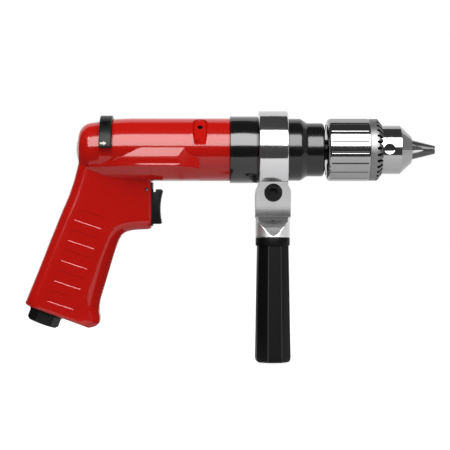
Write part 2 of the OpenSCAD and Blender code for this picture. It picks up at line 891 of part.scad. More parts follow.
// The lock screw's hole, as deep as the screw goes into the motor cylinder
module lock_screw_space(r, shorten) {
    top = pocket_floor - lock_sunk;
    in_pocket() translate([0, lock_out, top - lock_l]) cylinder(r = r, h = lock_l + barrel_r - shorten);
}

module housing_lock_screw() {
    top = pocket_floor - lock_sunk;
    color(dark_steel) in_pocket() translate([0, lock_out, top - lock_l]) difference() {
        cylinder(r = lock_r, h = lock_l);
        translate([0, 0, lock_l - lock_socket_l]) cylinder(r = lock_socket_r, h = lock_l, $fn = 6);
    }
}

module barrel() {
    half = lever_w / 2 + room;
    dome_x = barrel_back + dome_rise + dome_r;
    lathe(concat(
        [[0, spigot_front], [spigot_r, spigot_front], [spigot_r, case_back], [barrel_r, case_back],
            [barrel_r, lever_x + half + taper_l], [lever_front_r, lever_x + half],
            [groove_r, lever_x + half], [groove_r, lever_x - half], [tail_r, lever_x - half]],
        arc([tail_r - dome_r - dome_rise * 0.6, dome_x], dome_r, 0, -90, 8),
        [[0, barrel_back]]
    ));
}

// The hip, from its rear section to its slanted front end
module hip() {
    count = len(hip_y_shares);
    difference() {
        loft([for (i = [0:len(hip_x_shares) - 1]) let (
            x = case_back - barrel_l * hip_x_shares[i],
            half = [for (k = [0:count - 1])
                [x, barrel_r * hip_y_shares[k] * hip_out_shares[i], barrel_r * hip_z_shares[k]]]
        ) concat(half, [for (k = [count - 1:-1:0]) [x, -half[k][1], half[k][2]]])]);
        translate([case_back - barrel_l * hip_nose_share, 0, hip_nose_z]) rotate([0, hip_nose_lean, 0])
            translate([0, -2 * barrel_r, -2 * barrel_r]) cube(4 * barrel_r);
    }
}

function grip_ring(row) = let (
    back = face_x - row[1] * grip_reach,
    front = face_x - row[2] * grip_reach,
    rear_power = 2 / row[4],
    front_power = 2 / (row[4] + 6 * min(1, row[5])),
    narrow = (1 - trigger_face_w / grip_w) * row[5]
) [for (i = [0:grip_sides - 1]) let (
    a = 360 * (i + 0.5) / grip_sides,
    power = cos(a) > 0 ? front_power : rear_power,
    x = (back + front) / 2 + (front - back) / 2 * sign(cos(a)) * pow(abs(cos(a)), power),
    near = max(0, min(1, (x - neck_x) / (face_x - neck_x))),
    half = grip_w / 2 * row[3] * (1 - narrow * near)
) [x, half * sign(sin(a)) * pow(abs(sin(a)), power), -row[0] * grip_drop]];

module grip() loft([for (row = grip_section_shares) grip_ring(row)]);

module at_inlet() translate([inlet_x, 0, inlet_z]) rotate([0, grip_slope, 0]) children();

module grip_panels() {
    lean = [-sin(panel_lean), 0, -cos(panel_lean)];
    for (side = [0, 1], i = [0:panel_count - 1]) mirror([0, side, 0])
        translate([panel_x, -grip_w / 2 * panel_floor_shares[i], panel_z] + i * panel_pitch * lean)
            rotate([0, panel_lean, 0]) translate([-panel_l / 2, -grip_w, -panel_h / 2])
                cube([panel_l, grip_w, panel_h]);
}

// The space that holds the trigger and, behind it, the throttle's bore
module throttle_space() {
    wide = trigger_w + 2 * room;
    low = trigger_z - trigger_h / 2 - room;
    high = trigger_z + trigger_h / 2 + room;
    slab(trigger_back - trigger_travel - room, face_x + over, wide, low, high);
    slab(face_x - plate_sunk, face_x + plate_t, plate_w + 2 * fit,
        plate_z - plate_h / 2, plate_z + plate_h / 2);
    translate([0, 0, trigger_z]) rod(throttle_r + fit, chamber_back, trigger_back);
    translate([trigger_pin_x, 0, trigger_pin_z]) rotate([90, 0, 0])
        cylinder(r = trigger_pin_r + fit, h = 2 * grip_w, center = true);
}

module air_passages() {
    translate([(bush_front - bush_l + seat_front) / 2, 0, trigger_z]) cylinder(r = feed_r, h = trigger_drop);
    at_inlet() {
        translate([0, 0, -over]) cylinder(r = shank_r + fit, h = shank_l + room + screen_lip_l + over);
        cylinder(r = supply_r, h = supply_l);
        translate([exhaust_out, 0, -over]) cylinder(r = exhaust_r, h = exhaust_l + over);
        for (side = [-1, 1]) translate([exhaust_out, side * exhaust_side_y, -over])
            cylinder(r = exhaust_side_r, h = exhaust_side_l + over);
    }
}

module housing() {
    color(red) difference() {
        union() {
            barrel();
            hip();
            grip();
        }
        at_inlet() translate([-grip_reach, -grip_w, -grip_w]) cube([2 * grip_reach, 2 * grip_w, grip_w]);
        rod(bore_r, bore_back, spigot_front + over);
        pocket();
        lock_screw_space(lock_r + fit, 0);
        lever_space();
        grip_panels();
        throttle_space();
        air_passages();
    }
}

// A square groove about X, from one angle over an arc
module arc_groove(from, sweep, inner, half) {
    rotate([from, 0, 0]) rotate([0, 90, 0]) rotate([0, 0, 180]) rotate_extrude(angle = sweep)
        translate([inner, lever_x - half]) square([barrel_r, 2 * half]);
}

// Room for the lever's swing, and slots that let its screws reach the valve
module lever_space() {
    wide = lever_screw_r + room;
    reach = asin(wide / bore_r);
    ease = asin(room / groove_r) * 2;
    arc_groove(
        lever_middle - lever_arc / 2 - lever_turn - ease, lever_arc + lever_turn + 2 * ease,
        groove_r, lever_w / 2 + room
    );
    for (a = lever_screw_angles)
        arc_groove(a + lever_middle - lever_turn - reach, lever_turn + 2 * reach, bore_r - over, wide);
}

// Trigger and throttle

module trigger_plate() {
    color(black) difference() {
        slab(face_x - plate_sunk, plate_front, plate_w,
            plate_z - plate_h / 2 + fit, plate_z + plate_h / 2 - fit);
        slab(
            face_x - plate_sunk - over, plate_front + over, trigger_w + 2 * room,
            trigger_z - trigger_h / 2 - room, trigger_z + trigger_h / 2 + room
        );
    }
}

module trigger() {
    low = trigger_z - trigger_h / 2;
    high = trigger_z + trigger_h / 2;
    notch_back = trigger_pin_x - trigger_pin_r - room;
    notch_front = trigger_pin_x + trigger_pin_r + room + trigger_travel;
    scoop_x = trigger_tip - trigger_scoop + trigger_scoop_r;
    color(black) difference() {
        slab(trigger_back, trigger_tip, trigger_w, low, high);
        translate([scoop_x, 0, trigger_z - trigger_h * 0.06]) rotate([90, 0, 0])
            cylinder(r = trigger_scoop_r, h = 2 * trigger_w, center = true, $fn = 128);
        slab(notch_back, notch_front, 2 * trigger_w, trigger_pin_z - trigger_pin_r - room, high + over);
        translate([0, 0, trigger_z]) rod(stem_r + fit, trigger_back - over, trigger_back + stem_in);
    }
}

module trigger_stem() color(steel) translate([0, 0, trigger_z])
    rod(stem_r, stem_back, trigger_back + stem_in);

module trigger_pin() {
    color(steel) translate([trigger_pin_x, 0, trigger_pin_z]) rotate([90, 0, 0]) difference() {
        cylinder(r = trigger_pin_r, h = trigger_pin_l, center = true);
        cylinder(r = trigger_pin_r * 0.5, h = trigger_pin_l + over, center = true);
    }
}

module stem_bush() {
    color(brass) translate([0, 0, trigger_z]) difference() {
        ring(throttle_r, stem_r + run, bush_front - bush_l, bush_front);
        rod(stem_r + 2 * o_ring_r, bush_front - bush_l / 2 - o_ring_r, bush_front - bush_l / 2 + o_ring_r);
    }
}

module stem_seal_ring() {
    middle = bush_front - bush_l / 2;
    thick = o_ring_r - run;
    color(black) translate([middle, 0, trigger_z]) rotate([0, 90, 0]) rotate_extrude()
        translate([stem_r + o_ring_r + run, 0]) circle(r = thick);
}

module valve_seat() {
    color(brass) translate([0, 0, trigger_z]) ring(throttle_r, seat_hole_r, seat_back, seat_front);
}

module throttle_valve() {
    front = seat_back - room / 2;
    color(brass) translate([0, 0, trigger_z]) union() {
        rod(valve_r, front - valve_l, front);
        rod(valve_nub_r, front - over, stem_back - room / 2);
        rod(valve_nub_r, front - valve_l - valve_guide_l, front - over);
    }
}

module throttle_spring() {
    front = seat_back - room / 2 - valve_l - spring_wire_r - room / 2;
    back = chamber_back + spring_wire_r + room / 2;
    steps = 8 * spring_turns;
    color(steel) translate([0, 0, trigger_z]) loft([for (k = [0:steps]) let (
        a = 360 * k / 8,
        out = [0, cos(a), sin(a)],
        centre = [front + (back - front) * k / steps, 0, 0] + spring_mean_r * out
    ) [for (i = [0:5]) centre + spring_wire_r * (cos(60 * i) * out - sin(60 * i) * [1, 0, 0])]]);
}

// Air inlet and exhaust

module inlet_bushing() {
    color(black) at_inlet() difference() {
        union() {
            rotate([0, 0, 8]) translate([0, 0, -washer_l - hex_l]) intersection() {
                cylinder(d = hex_af / cos(30), h = hex_l, $fn = 6);
                rotate_extrude() polygon([
                    [0, 0], [hex_af / 2, 0], [hex_af / 2 / cos(30), hex_af * 0.07],
                    [hex_af / 2 / cos(30), hex_l], [0, hex_l]
                ]);
            }
            translate([0, 0, -washer_l - fit]) cylinder(r = shank_r, h = shank_l + washer_l);
        }
        translate([0, 0, -washer_l - hex_l - over]) cylinder(r = inlet_r, h = inlet_l + hex_l + over);
    }
}

module inlet_washer() {
    color(black) at_inlet() translate([0, 0, -washer_l]) difference() {
        cylinder(d = washer_d, h = washer_l);
        translate([0, 0, -over]) cylinder(r = washer_bore_r, h = washer_l + 2 * over);
    }
}

module inlet_screen() {
    color(steel) at_inlet() translate([0, 0, shank_l + room - fit]) difference() {
        union() {
            cylinder(r = shank_r - run, h = screen_lip_l);
            cylinder(r = screen_r, h = screen_l);
        }
        translate([0, 0, -over]) cylinder(r = screen_r - screen_t, h = screen_l + over - screen_t);
    }
}

module exhaust_muffler() {
    color(dark_steel) at_inlet() translate([exhaust_out, 0, muffler_sunk])
        cylinder(r = exhaust_r - run, h = muffler_l);
}

// Side handle

module clamp_scoop(depth, r, low, high) {
    for (side = [-1, 1]) intersection() {
        translate([clamp_x, side * (leg_t / 2 + r), -depth]) rotate([0, 90, 0])
            cylinder(r = r, h = 2 * leg_w, center = true, $fn = 128);
        slab(clamp_x - leg_w, clamp_x + leg_w, 4 * clamp_r, -low, -high);
    }
}

module clamp_leg() {
    neck = clamp_w / 2;
    wide = leg_w / 2;
    top = clamp_bore_r + over;
    difference() {
        translate([clamp_x, clamp_r * 0.56, 0]) rotate([90, 0, 0]) linear_extrude(clamp_r * 1.12) polygon([
            [-neck, 0], [-neck, -top], [-wide, -leg_wide], [-wide, -leg_low],
            [wide, -leg_low], [wide, -leg_wide], [neck, -top], [neck, 0]
        ]);
        clamp_scoop(leg_low, leg_scoop_r, leg_low + over, top - over);
    }
}

module clamp_boss() {
    difference() {
        translate([clamp_x, 0, -boss_drop]) cylinder(r = boss_r, h = boss_drop - leg_low + over);
        clamp_scoop(leg_low, boss_scoop_r, boss_drop + over, leg_low - over);
    }
}

module handle_clamp() {
    edge = clamp_edge;
    color(alloy) difference() {
        union() {
            lathe([
                [clamp_bore_r - over, clamp_back], [clamp_r - edge, clamp_back], [clamp_r, clamp_back + edge],
                [clamp_r, clamp_front - edge], [clamp_r - edge, clamp_front],
                [clamp_bore_r - over, clamp_front]
            ]);
            clamp_leg();
            clamp_boss();
        }
        rod(clamp_bore_r, clamp_back - over, clamp_front + over);
        slab(clamp_back - leg_w, clamp_front + leg_w, slot_w, -slot_low, 0);
        clamp_screw_space(screw_r + run, screw_head_r + room);
        translate([clamp_x, 0, -boss_drop - over])
            cylinder(r = stud_r + fit, h = boss_drop - stud_top + over);
    }
}

// The hole and counterbore of the clamp screw
module clamp_screw_space(hole_r, head_r) {
    translate([clamp_x, 0, -screw_drop]) rotate([90, 0, 0]) {
        cylinder(r = hole_r, h = 2 * clamp_r, center = true);
        translate([0, 0, screw_out - screw_head_l]) cylinder(r = head_r, h = clamp_r);
    }
}

module clamp_screw() {
    color(dark_steel) translate([clamp_x, 0, -screw_drop]) rotate([90, 0, 0]) difference() {
        union() {
            translate([0, 0, screw_out - screw_head_l]) cylinder(r = screw_head_r, h = screw_head_l);
            translate([0, 0, -screw_far])
                cylinder(r = screw_r, h = screw_far + screw_out - screw_head_l + fit);
        }
        translate([0, 0, screw_out - screw_socket_l])
            cylinder(d = screw_socket_af / cos(30), h = screw_head_l, $fn = 6);
    }
}

module handle_stud() {
    low = boss_drop + side_grip_l - stud_end;
    color(steel) translate([clamp_x, 0, -low]) cylinder(r = stud_r, h = low - stud_top);
}

module side_grip() {
    top = -boss_drop - room / 2;
    flange_low = top - grip_flange_l;
    end = -boss_drop - side_grip_l;
    low_r = side_grip_low / 2 / cos(22.5);
    color(black) translate([clamp_x, 0, 0]) rotate([0, 0, 22.5 + grip_turn]) difference() {
        union() {
            translate([0, 0, flange_low]) cylinder(r = boss_r, h = grip_flange_l);
            translate([0, 0, end + grip_end_l]) cylinder(
                r1 = low_r, r2 = side_grip_top / 2 / cos(22.5),
                h = flange_low - end - grip_end_l + over, $fn = 8
            );
            translate([0, 0, end]) cylinder(r1 = low_r - grip_end_in, r2 = low_r, h = grip_end_l, $fn = 8);
        }
        translate([0, 0, end + stud_end - room]) cylinder(r = stud_r + fit, h = side_grip_l);
    }
}

housing();
housing_lock_screw();
reverse_lever();
lever_screws();
reverse_valve();
trigger_plate();
trigger();
trigger_stem();
trigger_pin();
stem_bush();
stem_seal_ring();
valve_seat();
throttle_valve();
throttle_spring();
inlet_bushing();
inlet_washer();
inlet_screen();
exhaust_muffler();
rear_end_plate();
rear_rotor_bearing();
rotor();
rotor_vanes();
motor_cylinder();
front_end_plate();
front_rotor_bearing();
gear_case();
ring_gear();
input_planet(planet_angles[0]);  // input_planet_a
input_planet(planet_angles[1]);  // input_planet_b
input_planet(planet_angles[2]);  // input_planet_c
input_planet_pins();
input_carrier();
output_planet(planet_angles[0]);  // output_planet_a
output_planet(planet_angles[1]);  // output_planet_b
output_planet(planet_angles[2]);  // output_planet_c
output_planet_pins();
spindle();
front_spindle_bearing();
bearing_spacer();
rear_spindle_bearing();
spindle_seal();
spindle_clip();
chuck_body();
chuck_screw();
chuck_sleeve();
chuck_nut();
chuck_jaw(jaw_angles[0]);  // chuck_jaw_a
chuck_jaw(jaw_angles[1]);  // chuck_jaw_b
chuck_jaw(jaw_angles[2]);  // chuck_jaw_c
handle_clamp();
clamp_screw();
handle_stud();
side_grip();
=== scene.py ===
"""Looks of the air drill: painted housing, black gear case, polished chuck and a clamped side handle."""

import json
import math

import bpy
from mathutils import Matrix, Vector


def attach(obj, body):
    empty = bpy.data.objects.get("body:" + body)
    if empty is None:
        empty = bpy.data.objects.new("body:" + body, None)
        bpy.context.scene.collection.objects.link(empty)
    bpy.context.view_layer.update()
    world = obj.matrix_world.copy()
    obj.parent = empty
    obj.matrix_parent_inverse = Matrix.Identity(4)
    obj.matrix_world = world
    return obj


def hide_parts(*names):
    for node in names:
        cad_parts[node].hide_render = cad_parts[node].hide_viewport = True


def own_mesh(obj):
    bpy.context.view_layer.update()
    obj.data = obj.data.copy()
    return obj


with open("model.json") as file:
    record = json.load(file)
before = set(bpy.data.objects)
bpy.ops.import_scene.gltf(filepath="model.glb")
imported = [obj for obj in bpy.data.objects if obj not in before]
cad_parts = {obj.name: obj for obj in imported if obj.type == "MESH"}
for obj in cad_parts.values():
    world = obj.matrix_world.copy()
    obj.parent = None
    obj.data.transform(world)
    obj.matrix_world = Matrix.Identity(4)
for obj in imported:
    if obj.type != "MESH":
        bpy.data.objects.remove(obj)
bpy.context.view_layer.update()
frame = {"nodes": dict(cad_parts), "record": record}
MM = 0.001


# Modelling


def deselect():
    if bpy.context.object and bpy.context.object.mode != "OBJECT":
        bpy.ops.object.mode_set(mode="OBJECT")
    bpy.ops.object.select_all(action="DESELECT")


def pick(*pieces):
    deselect()
    for piece in pieces:
        piece.select_set(True)
    bpy.context.view_layer.objects.active = pieces[0]
    return pieces[0]


def edit(piece):
    pick(piece)
    bpy.ops.object.mode_set(mode="EDIT")
    bpy.ops.mesh.select_all(action="SELECT")


def settle(piece):
    """Puts a piece's place into its mesh, with its doubles merged and its faces outwards."""
    pick(piece)
    bpy.ops.object.transform_apply(location=True, rotation=True, scale=True)
    edit(piece)
    bpy.ops.mesh.remove_doubles(threshold=0.002 * MM)
    bpy.ops.mesh.normals_make_consistent(inside=False)
    bpy.ops.object.mode_set(mode="OBJECT")
    return piece


def select_edges(piece, wanted):
    """In edit mode, selects the edges whose two ends, in millimetres, are wanted."""
    bpy.ops.mesh.select_all(action="DESELECT")
    bpy.ops.mesh.select_mode(type="EDGE")
    bpy.ops.object.mode_set(mode="OBJECT")
    points = [v.co / MM for v in piece.data.vertices]
    for edge in piece.data.edges:
        edge.select = wanted(points[edge.vertices[0]], points[edge.vertices[1]])
    bpy.ops.object.mode_set(mode="EDIT")


def chain(name, points):
    """A line of points in millimetres, drawn by extruding one vertex."""
    deselect()
    bpy.ops.mesh.primitive_plane_add(size=MM, location=Vector(points[0]) * MM)
    piece = bpy.context.object
    piece.name = name
    bpy.ops.object.transform_apply(location=True)
    bpy.ops.object.mode_set(mode="EDIT")
    bpy.ops.mesh.select_mode(type="VERT")
    bpy.ops.mesh.select_all(action="SELECT")
    bpy.ops.mesh.merge(type="CENTER")
    for start, end in zip(points, points[1:]):
        step = (Vector(end) - Vector(start)) * MM
        bpy.ops.mesh.extrude_region_move(TRANSFORM_OT_translate={"value": step})
    return piece


def turned(name, profile, steps, centre=(0, 0, 0), axis=(1, 0, 0)):
    """A turned piece about an axis along X or square to it, from points of radius and station."""
    along = Vector(axis)
    out = Vector((0, 0, 1)) if along.x else Vector((1, 0, 0))
    piece = chain(name, [Vector(centre) + along * s + out * r for r, s in profile])
    bpy.ops.mesh.select_all(action="SELECT")
    bpy.ops.mesh.spin(steps=steps, angle=math.tau, center=Vector(centre) * MM, axis=along)
    return settle(piece)


def prism(name, outline, shift):
    """An outline, filled and extruded."""
    piece = chain(name, outline)
    bpy.ops.mesh.select_all(action="SELECT")
    bpy.ops.mesh.edge_face_add()
    bpy.ops.mesh.extrude_region_move(TRANSFORM_OT_translate={"value": Vector(shift) * MM})
    return settle(piece)


def block(name, low, high):
    deselect()
    middle = (Vector(low) + Vector(high)) / 2 * MM
    bpy.ops.mesh.primitive_cube_add(size=1, location=middle)
    piece = bpy.context.object
    piece.name = name
    piece.scale = (Vector(high) - Vector(low)) * MM
    return settle(piece)


def drum(name, radius, start, end, sides=48):
    """A straight cylinder between two points."""
    deselect()
    start, end = Vector(start), Vector(end)
    lean = (end - start).to_track_quat("Z", "Y").to_euler()
    bpy.ops.mesh.primitive_cylinder_add(
        vertices=sides, radius=radius * MM, depth=(end - start).length * MM,
        location=(start + end) / 2 * MM, rotation=lean,
    )
    piece = bpy.context.object
    piece.name = name
    return settle(piece)


def modified(piece, kind, **settings):
    pick(piece)
    modifier = piece.modifiers.new(kind.title(), kind)
    for key, value in settings.items():
        setattr(modifier, key, value)
    bpy.ops.object.modifier_apply(modifier=modifier.name)
    return piece


def combine(piece, other, operation):
    modified(piece, "BOOLEAN", object=other, operation=operation, solver="EXACT")
    bpy.data.objects.remove(other)
    return piece


def cut(piece, *tools):
    for tool in tools:
        combine(piece, tool, "DIFFERENCE")
    return piece


def join(piece, *others):
    pick(piece, *others)
    bpy.ops.object.join()
    return piece


def softened(piece, width, segments):
    return modified(
        piece, "BEVEL", width=width * MM, segments=segments, limit_method="ANGLE",
        angle_limit=math.radians(30), use_clamp_overlap=True, harden_normals=False,
    )


def finished(piece, body, material, slot, *nodes, angle=35):
    """Smooths and paints a piece, and sets it on its body in place of its nodes."""
    pick(piece)
    bpy.ops.object.shade_smooth_by_angle(angle=math.radians(angle))
    piece.data.materials.clear()
    piece.data.materials.append(material)
    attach(piece, body)
    if nodes:
        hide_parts(*nodes)
    return piece


# Outlines


def fillet(before, corner, after, radius, steps):
    """Points that round one corner of an outline, in its plane."""
    corner = Vector(corner)
    to_before = (Vector(before) - corner).normalized()
    to_after = (Vector(after) - corner).normalized()
    half = to_before.angle(to_after) / 2
    middle = corner + (to_before + to_after).normalized() * (radius / math.sin(half))
    first = corner + to_before * (radius / math.tan(half)) - middle
    last = corner + to_after * (radius / math.tan(half)) - middle
    turn = first.angle(last)
    points = []
    for k in range(steps + 1):
        share = k / steps
        offset = first * math.sin((1 - share) * turn) + last * math.sin(share * turn)
        points.append(middle + offset / math.sin(turn))
    return points


def rounded(outline, radius, steps):
    """An outline with its corners rounded."""
    points = []
    for k, corner in enumerate(outline):
        points += fillet(outline[k - 1], corner, outline[(k + 1) % len(outline)], radius, steps)
    return points


def arc(centre, radius, start, end, steps):
    """Points of an arc in a plane of two coordinates, angles in degrees."""
    angles = [math.radians(start + (end - start) * k / steps) for k in range(steps + 1)]
    return [(centre[0] + radius * math.cos(a), centre[1] + radius * math.sin(a)) for a in angles]


def around(x, radius, degrees):
    """A point about the barrel's axis, turned from the top towards the near side."""
    a = math.radians(degrees)
    return Vector((x, -radius * math.sin(a), radius * math.cos(a)))


def leaned(x, y, z, degrees):
    """A point of a frame that is turned about the barrel's axis towards the near side."""
    a = math.radians(degrees)
    return Vector((x, y * math.cos(a) - z * math.sin(a), y * math.sin(a) + z * math.cos(a)))


def swept(name, outline, start, sweep, steps):
    """An outline of radius and station, filled and spun part of the way round the barrel's axis."""
    piece = chain(name, [around(x, r, start) for r, x in outline])
    bpy.ops.mesh.select_all(action="SELECT")
    bpy.ops.mesh.edge_face_add()
    bpy.ops.mesh.spin(steps=steps, angle=-math.radians(sweep), center=(0, 0, 0), axis=(1, 0, 0))
    return settle(piece)


def stacked(name, loops):
    """A skin over closed loops of as many points, with both ends filled."""
    rows = []
    for k, loop in enumerate(loops):
        row = chain(name, loop)
        bpy.ops.mesh.select_all(action="SELECT")
        bpy.ops.mesh.edge_face_add()
        if 0 < k < len(loops) - 1:
            bpy.ops.mesh.delete(type="ONLY_FACE")
        bpy.ops.object.mode_set(mode="OBJECT")
        rows.append(row)
    piece = join(*rows)
    size = len(loops[0])
    for k in range(len(loops) - 1):
        edit(piece)
        bpy.ops.mesh.select_all(action="DESELECT")
        bpy.ops.mesh.select_mode(type="EDGE")
        bpy.ops.object.mode_set(mode="OBJECT")
        first, last = k * size, (k + 2) * size
        for edge in piece.data.edges:
            a, b = edge.vertices
            edge.select = first <= min(a, b) and max(a, b) < last and a // size == b // size
        bpy.ops.object.mode_set(mode="EDIT")
        bpy.ops.mesh.bridge_edge_loops()
    return settle(piece)


def sliced(piece, point, normal, width):
    """Cuts a piece off by a plane, fills the cut and rounds its rim."""
    point, normal = Vector(point), Vector(normal)
    edit(piece)
    bpy.ops.mesh.bisect(
        plane_co=point * MM, plane_no=normal, use_fill=True, clear_outer=True, threshold=0.00001 * MM
    )

    def on_plane(place):
        return abs((place - point).dot(normal.normalized())) < 0.01

    select_edges(piece, lambda a, b: on_plane(a) and on_plane(b))
    bpy.ops.mesh.bevel(offset=width * MM, segments=3, affect="EDGES", clamp_overlap=True)
    return settle(piece)


# Places that a finish and a shape share, in millimetres

# The axis of the side handle's leg and grip
HANDLE_X = -102.1
# How far the side grip's first edge is turned from +X, and half the turn to the next edge
SIDE_GRIP_TURN = math.radians(28)
HALF_FACET = math.radians(22.5)
SIDE_GRIP_TOP = -71
# The round boss at the foot of the clamp's leg, and the milled facet beside it in side view
BOSS_R = 12.65
BOSS_TOP = -50.2
MILLED_TOP = -49.6
FOOT_FACET = [(5.9, -52.5), (8.2, -54.8), (10.2, -57.3), (11.4, -59.8), (12.1, -62.2), (12.8, -64.7)]
# Where the gear case's turned rear ends and its cast front begins
CASE_FRONT = -91.4


# Materials


class Wire:
    """A socket of a material, with arithmetic that adds its Math nodes."""

    def __init__(self, tree, socket):
        self.tree = tree
        self.socket = socket

    def math(self, operation, first, second=0.0):
        node = self.tree.nodes.new("ShaderNodeMath")
        node.operation = operation
        for slot, value in zip(node.inputs, (first, second)):
            if isinstance(value, Wire):
                self.tree.links.new(value.socket, slot)
            else:
                slot.default_value = value
        return Wire(self.tree, node.outputs[0])

    def __add__(self, other):
        return self.math("ADD", self, other)

    __radd__ = __add__

    def __mul__(self, other):
        return self.math("MULTIPLY", self, other)

    __rmul__ = __mul__

    def __sub__(self, other):
        return self.math("SUBTRACT", self, other)

    def __rsub__(self, other):
        return self.math("SUBTRACT", other, self)

    def __gt__(self, other):
        return self.math("GREATER_THAN", self, other)

    def __lt__(self, other):
        return self.math("LESS_THAN", self, other)


class Finish:
    """A material under construction."""

    def __init__(self, name):
        self.material = bpy.data.materials.new(name)
        self.material.use_nodes = True
        self.tree = self.material.node_tree
        self.tree.nodes.clear()
        self.place = self.node("TexCoord", out="Object")

    def node(self, kind, sockets=None, out=0, **settings):
        """A new node, as the wire of one of its outputs."""
        node = self.tree.nodes.new("ShaderNode" + kind)
        for key, value in settings.items():
            setattr(node, key, value)
        for key, value in (sockets or {}).items():
            if isinstance(value, Wire):
                self.tree.links.new(value.socket, node.inputs[key])
            else:
                node.inputs[key].default_value = value
        return Wire(self.tree, node.outputs[out]) if node.outputs else None

    def noise(self, scale, detail, stretch=(1, 1, 1)):
        place = self.node("Mapping", {"Vector": self.place, "Scale": stretch})
        return self.node("TexNoise", {"Vector": place, "Scale": scale, "Detail": detail})

    def ramp(self, value, low, high):
        """A value stretched to 0 at low and 1 at high."""
        return self.node("MapRange", {"Value": value, "From Min": low, "From Max": high})

    def blend(self, factor, first, second):
        """Two colours, each a wire or three numbers, mixed by a factor."""
        pair = [(*colour, 1) if isinstance(colour, tuple) else colour for colour in (first, second)]
        return self.node("Mix", {0: factor, 6: pair[0], 7: pair[1]}, out=2, data_type="RGBA")

    def bump(self, height, distance, strength=1.0):
        return self.node("Bump", {"Height": height, "Distance": distance, "Strength": strength})

    def axes(self):
        split = self.node("SeparateXYZ", {"Vector": self.place})
        outputs = split.socket.node.outputs
        return [Wire(self.tree, outputs[k]) for k in range(3)]

    def done(self, **sockets):
        named = {key.replace("_", " "): value for key, value in sockets.items()}
        shader = self.node("BsdfPrincipled", named)
        self.node("OutputMaterial", {"Surface": shader})
        return self.material


def red_enamel():
    f = Finish("red_enamel")
    cloud = f.noise(14, 3)
    speck = f.noise(900, 2)
    colour = f.blend(cloud, (0.57, 0.005, 0.002), (0.63, 0.007, 0.003))
    return f.done(
        Base_Color=colour, Roughness=0.10 + 0.05 * cloud, Specular_IOR_Level=0.32,
        Coat_Weight=0.15, Coat_Roughness=0.03, Normal=f.bump(speck, 0.00002, 0.25),
    )


def black_enamel():
    """The gear case's coat, without its gloss on the cast front."""
    f = Finish("black_enamel")
    cloud = f.noise(30, 3)
    speck = f.noise(1100, 2)
    colour = f.blend(cloud, (0.003, 0.003, 0.0034), (0.006, 0.006, 0.0065))
    cast = f.axes()[0] > CASE_FRONT * MM
    return f.done(
        Base_Color=colour, Roughness=0.10 + 0.06 * cloud + 0.06 * cast * cloud,
        Coat_Weight=0.3 - 0.3 * cast, Coat_Roughness=0.04, Normal=f.bump(speck, 0.00002, 0.3),
    )


def moulded_black(name, painted_edge_highlights=False):
    """Grained plastic. It can carry a painted highlight: a lighter base colour along the side grip's
    eight edges, where their rounding would catch the light.
    """
    f = Finish(name)
    grain = f.noise(1400, 3)
    cloud = f.noise(25, 2)
    colour = f.blend(cloud, (0.0025, 0.0025, 0.0026), (0.004, 0.004, 0.0042))
    if painted_edge_highlights:
        # Painted highlight: a thin lighter line along each edge of the side grip, below its top
        x, y, z = f.axes()
        turn = x.math("ARCTAN2", y, x - HANDLE_X * MM)
        from_edge = turn.math("PINGPONG", turn - SIDE_GRIP_TURN, HALF_FACET)
        line = f.ramp(from_edge, math.radians(2.4), math.radians(0.8)) * (z < SIDE_GRIP_TOP * MM)
        colour = f.blend(line, colour, (0.05, 0.05, 0.052))
    return f.done(
        Base_Color=colour, Roughness=0.36 + 0.1 * grain, Specular_IOR_Level=0.1,
        Normal=f.bump(grain, 0.00004, 0.35),
    )


def lever_resin():
    f = Finish("lever_resin")
    grain = f.noise(1600, 3)
    colour = f.blend(grain, (0.003, 0.006, 0.004), (0.010, 0.015, 0.011))
    return f.done(
        Base_Color=colour, Roughness=0.26 + 0.12 * grain, Specular_IOR_Level=0.12,
        Normal=f.bump(grain, 0.00005, 0.4),
    )


def soft_rubber():
    f = Finish("soft_rubber")
    grain = f.noise(900, 3)
    colour = f.blend(grain, (0.012, 0.012, 0.012), (0.025, 0.025, 0.025))
    return f.done(Base_Color=colour, Roughness=0.6 + 0.2 * grain, Normal=f.bump(grain, 0.00005, 0.5))


def polished_alloy():
    f = Finish("polished_alloy")
    brushed = f.noise(260, 4, (0.12, 1, 1))
    cloud = f.noise(40, 3)
    colour = f.blend(cloud, (0.52, 0.52, 0.53), (0.62, 0.62, 0.63))
    return f.done(
        Base_Color=colour, Metallic=1.0, Roughness=0.05 + 0.08 * brushed,
        Normal=f.bump(brushed, 0.00003, 0.25),
    )


def blasted_alloy():
    """Cast alloy, rougher on the turned boss at the leg's foot and on the milled facet. Its base colour
    is painted lighter on the boss as a painted highlight, and much darker on the milled facet as painted
    shade.
    """
    f = Finish("blasted_alloy")
    pits = f.noise(1500, 4)
    cloud = f.noise(70, 4)
    streaks = f.noise(900, 3, (1, 1, 0.06))
    x, y, z = f.axes()
    across = x - HANDLE_X * MM
    outside = (across * across + y * y) > ((BOSS_R - 0.15) * MM) ** 2
    boss = (z < BOSS_TOP * MM) * outside
    milled = (z < MILLED_TOP * MM) * (1 - outside)
    cast = f.blend(cloud, (0.40, 0.40, 0.405), (0.54, 0.54, 0.545))
    # Painted light on the boss and painted shade on the milled facet: lit and shaded copies of the cast
    # alloy's colour
    boss_painted_light = f.blend(cloud, (0.72, 0.72, 0.725), (0.82, 0.82, 0.825))
    facet_painted_shade = f.blend(streaks, (0.05, 0.05, 0.051), (0.095, 0.095, 0.096))
    return f.done(
        Base_Color=f.blend(milled, f.blend(boss, cast, boss_painted_light), facet_painted_shade), Metallic=1.0,
        Roughness=0.19 + 0.08 * cloud + 0.2 * boss + 0.25 * milled,
        Normal=f.bump(pits, 0.00003, 0.3),
    )


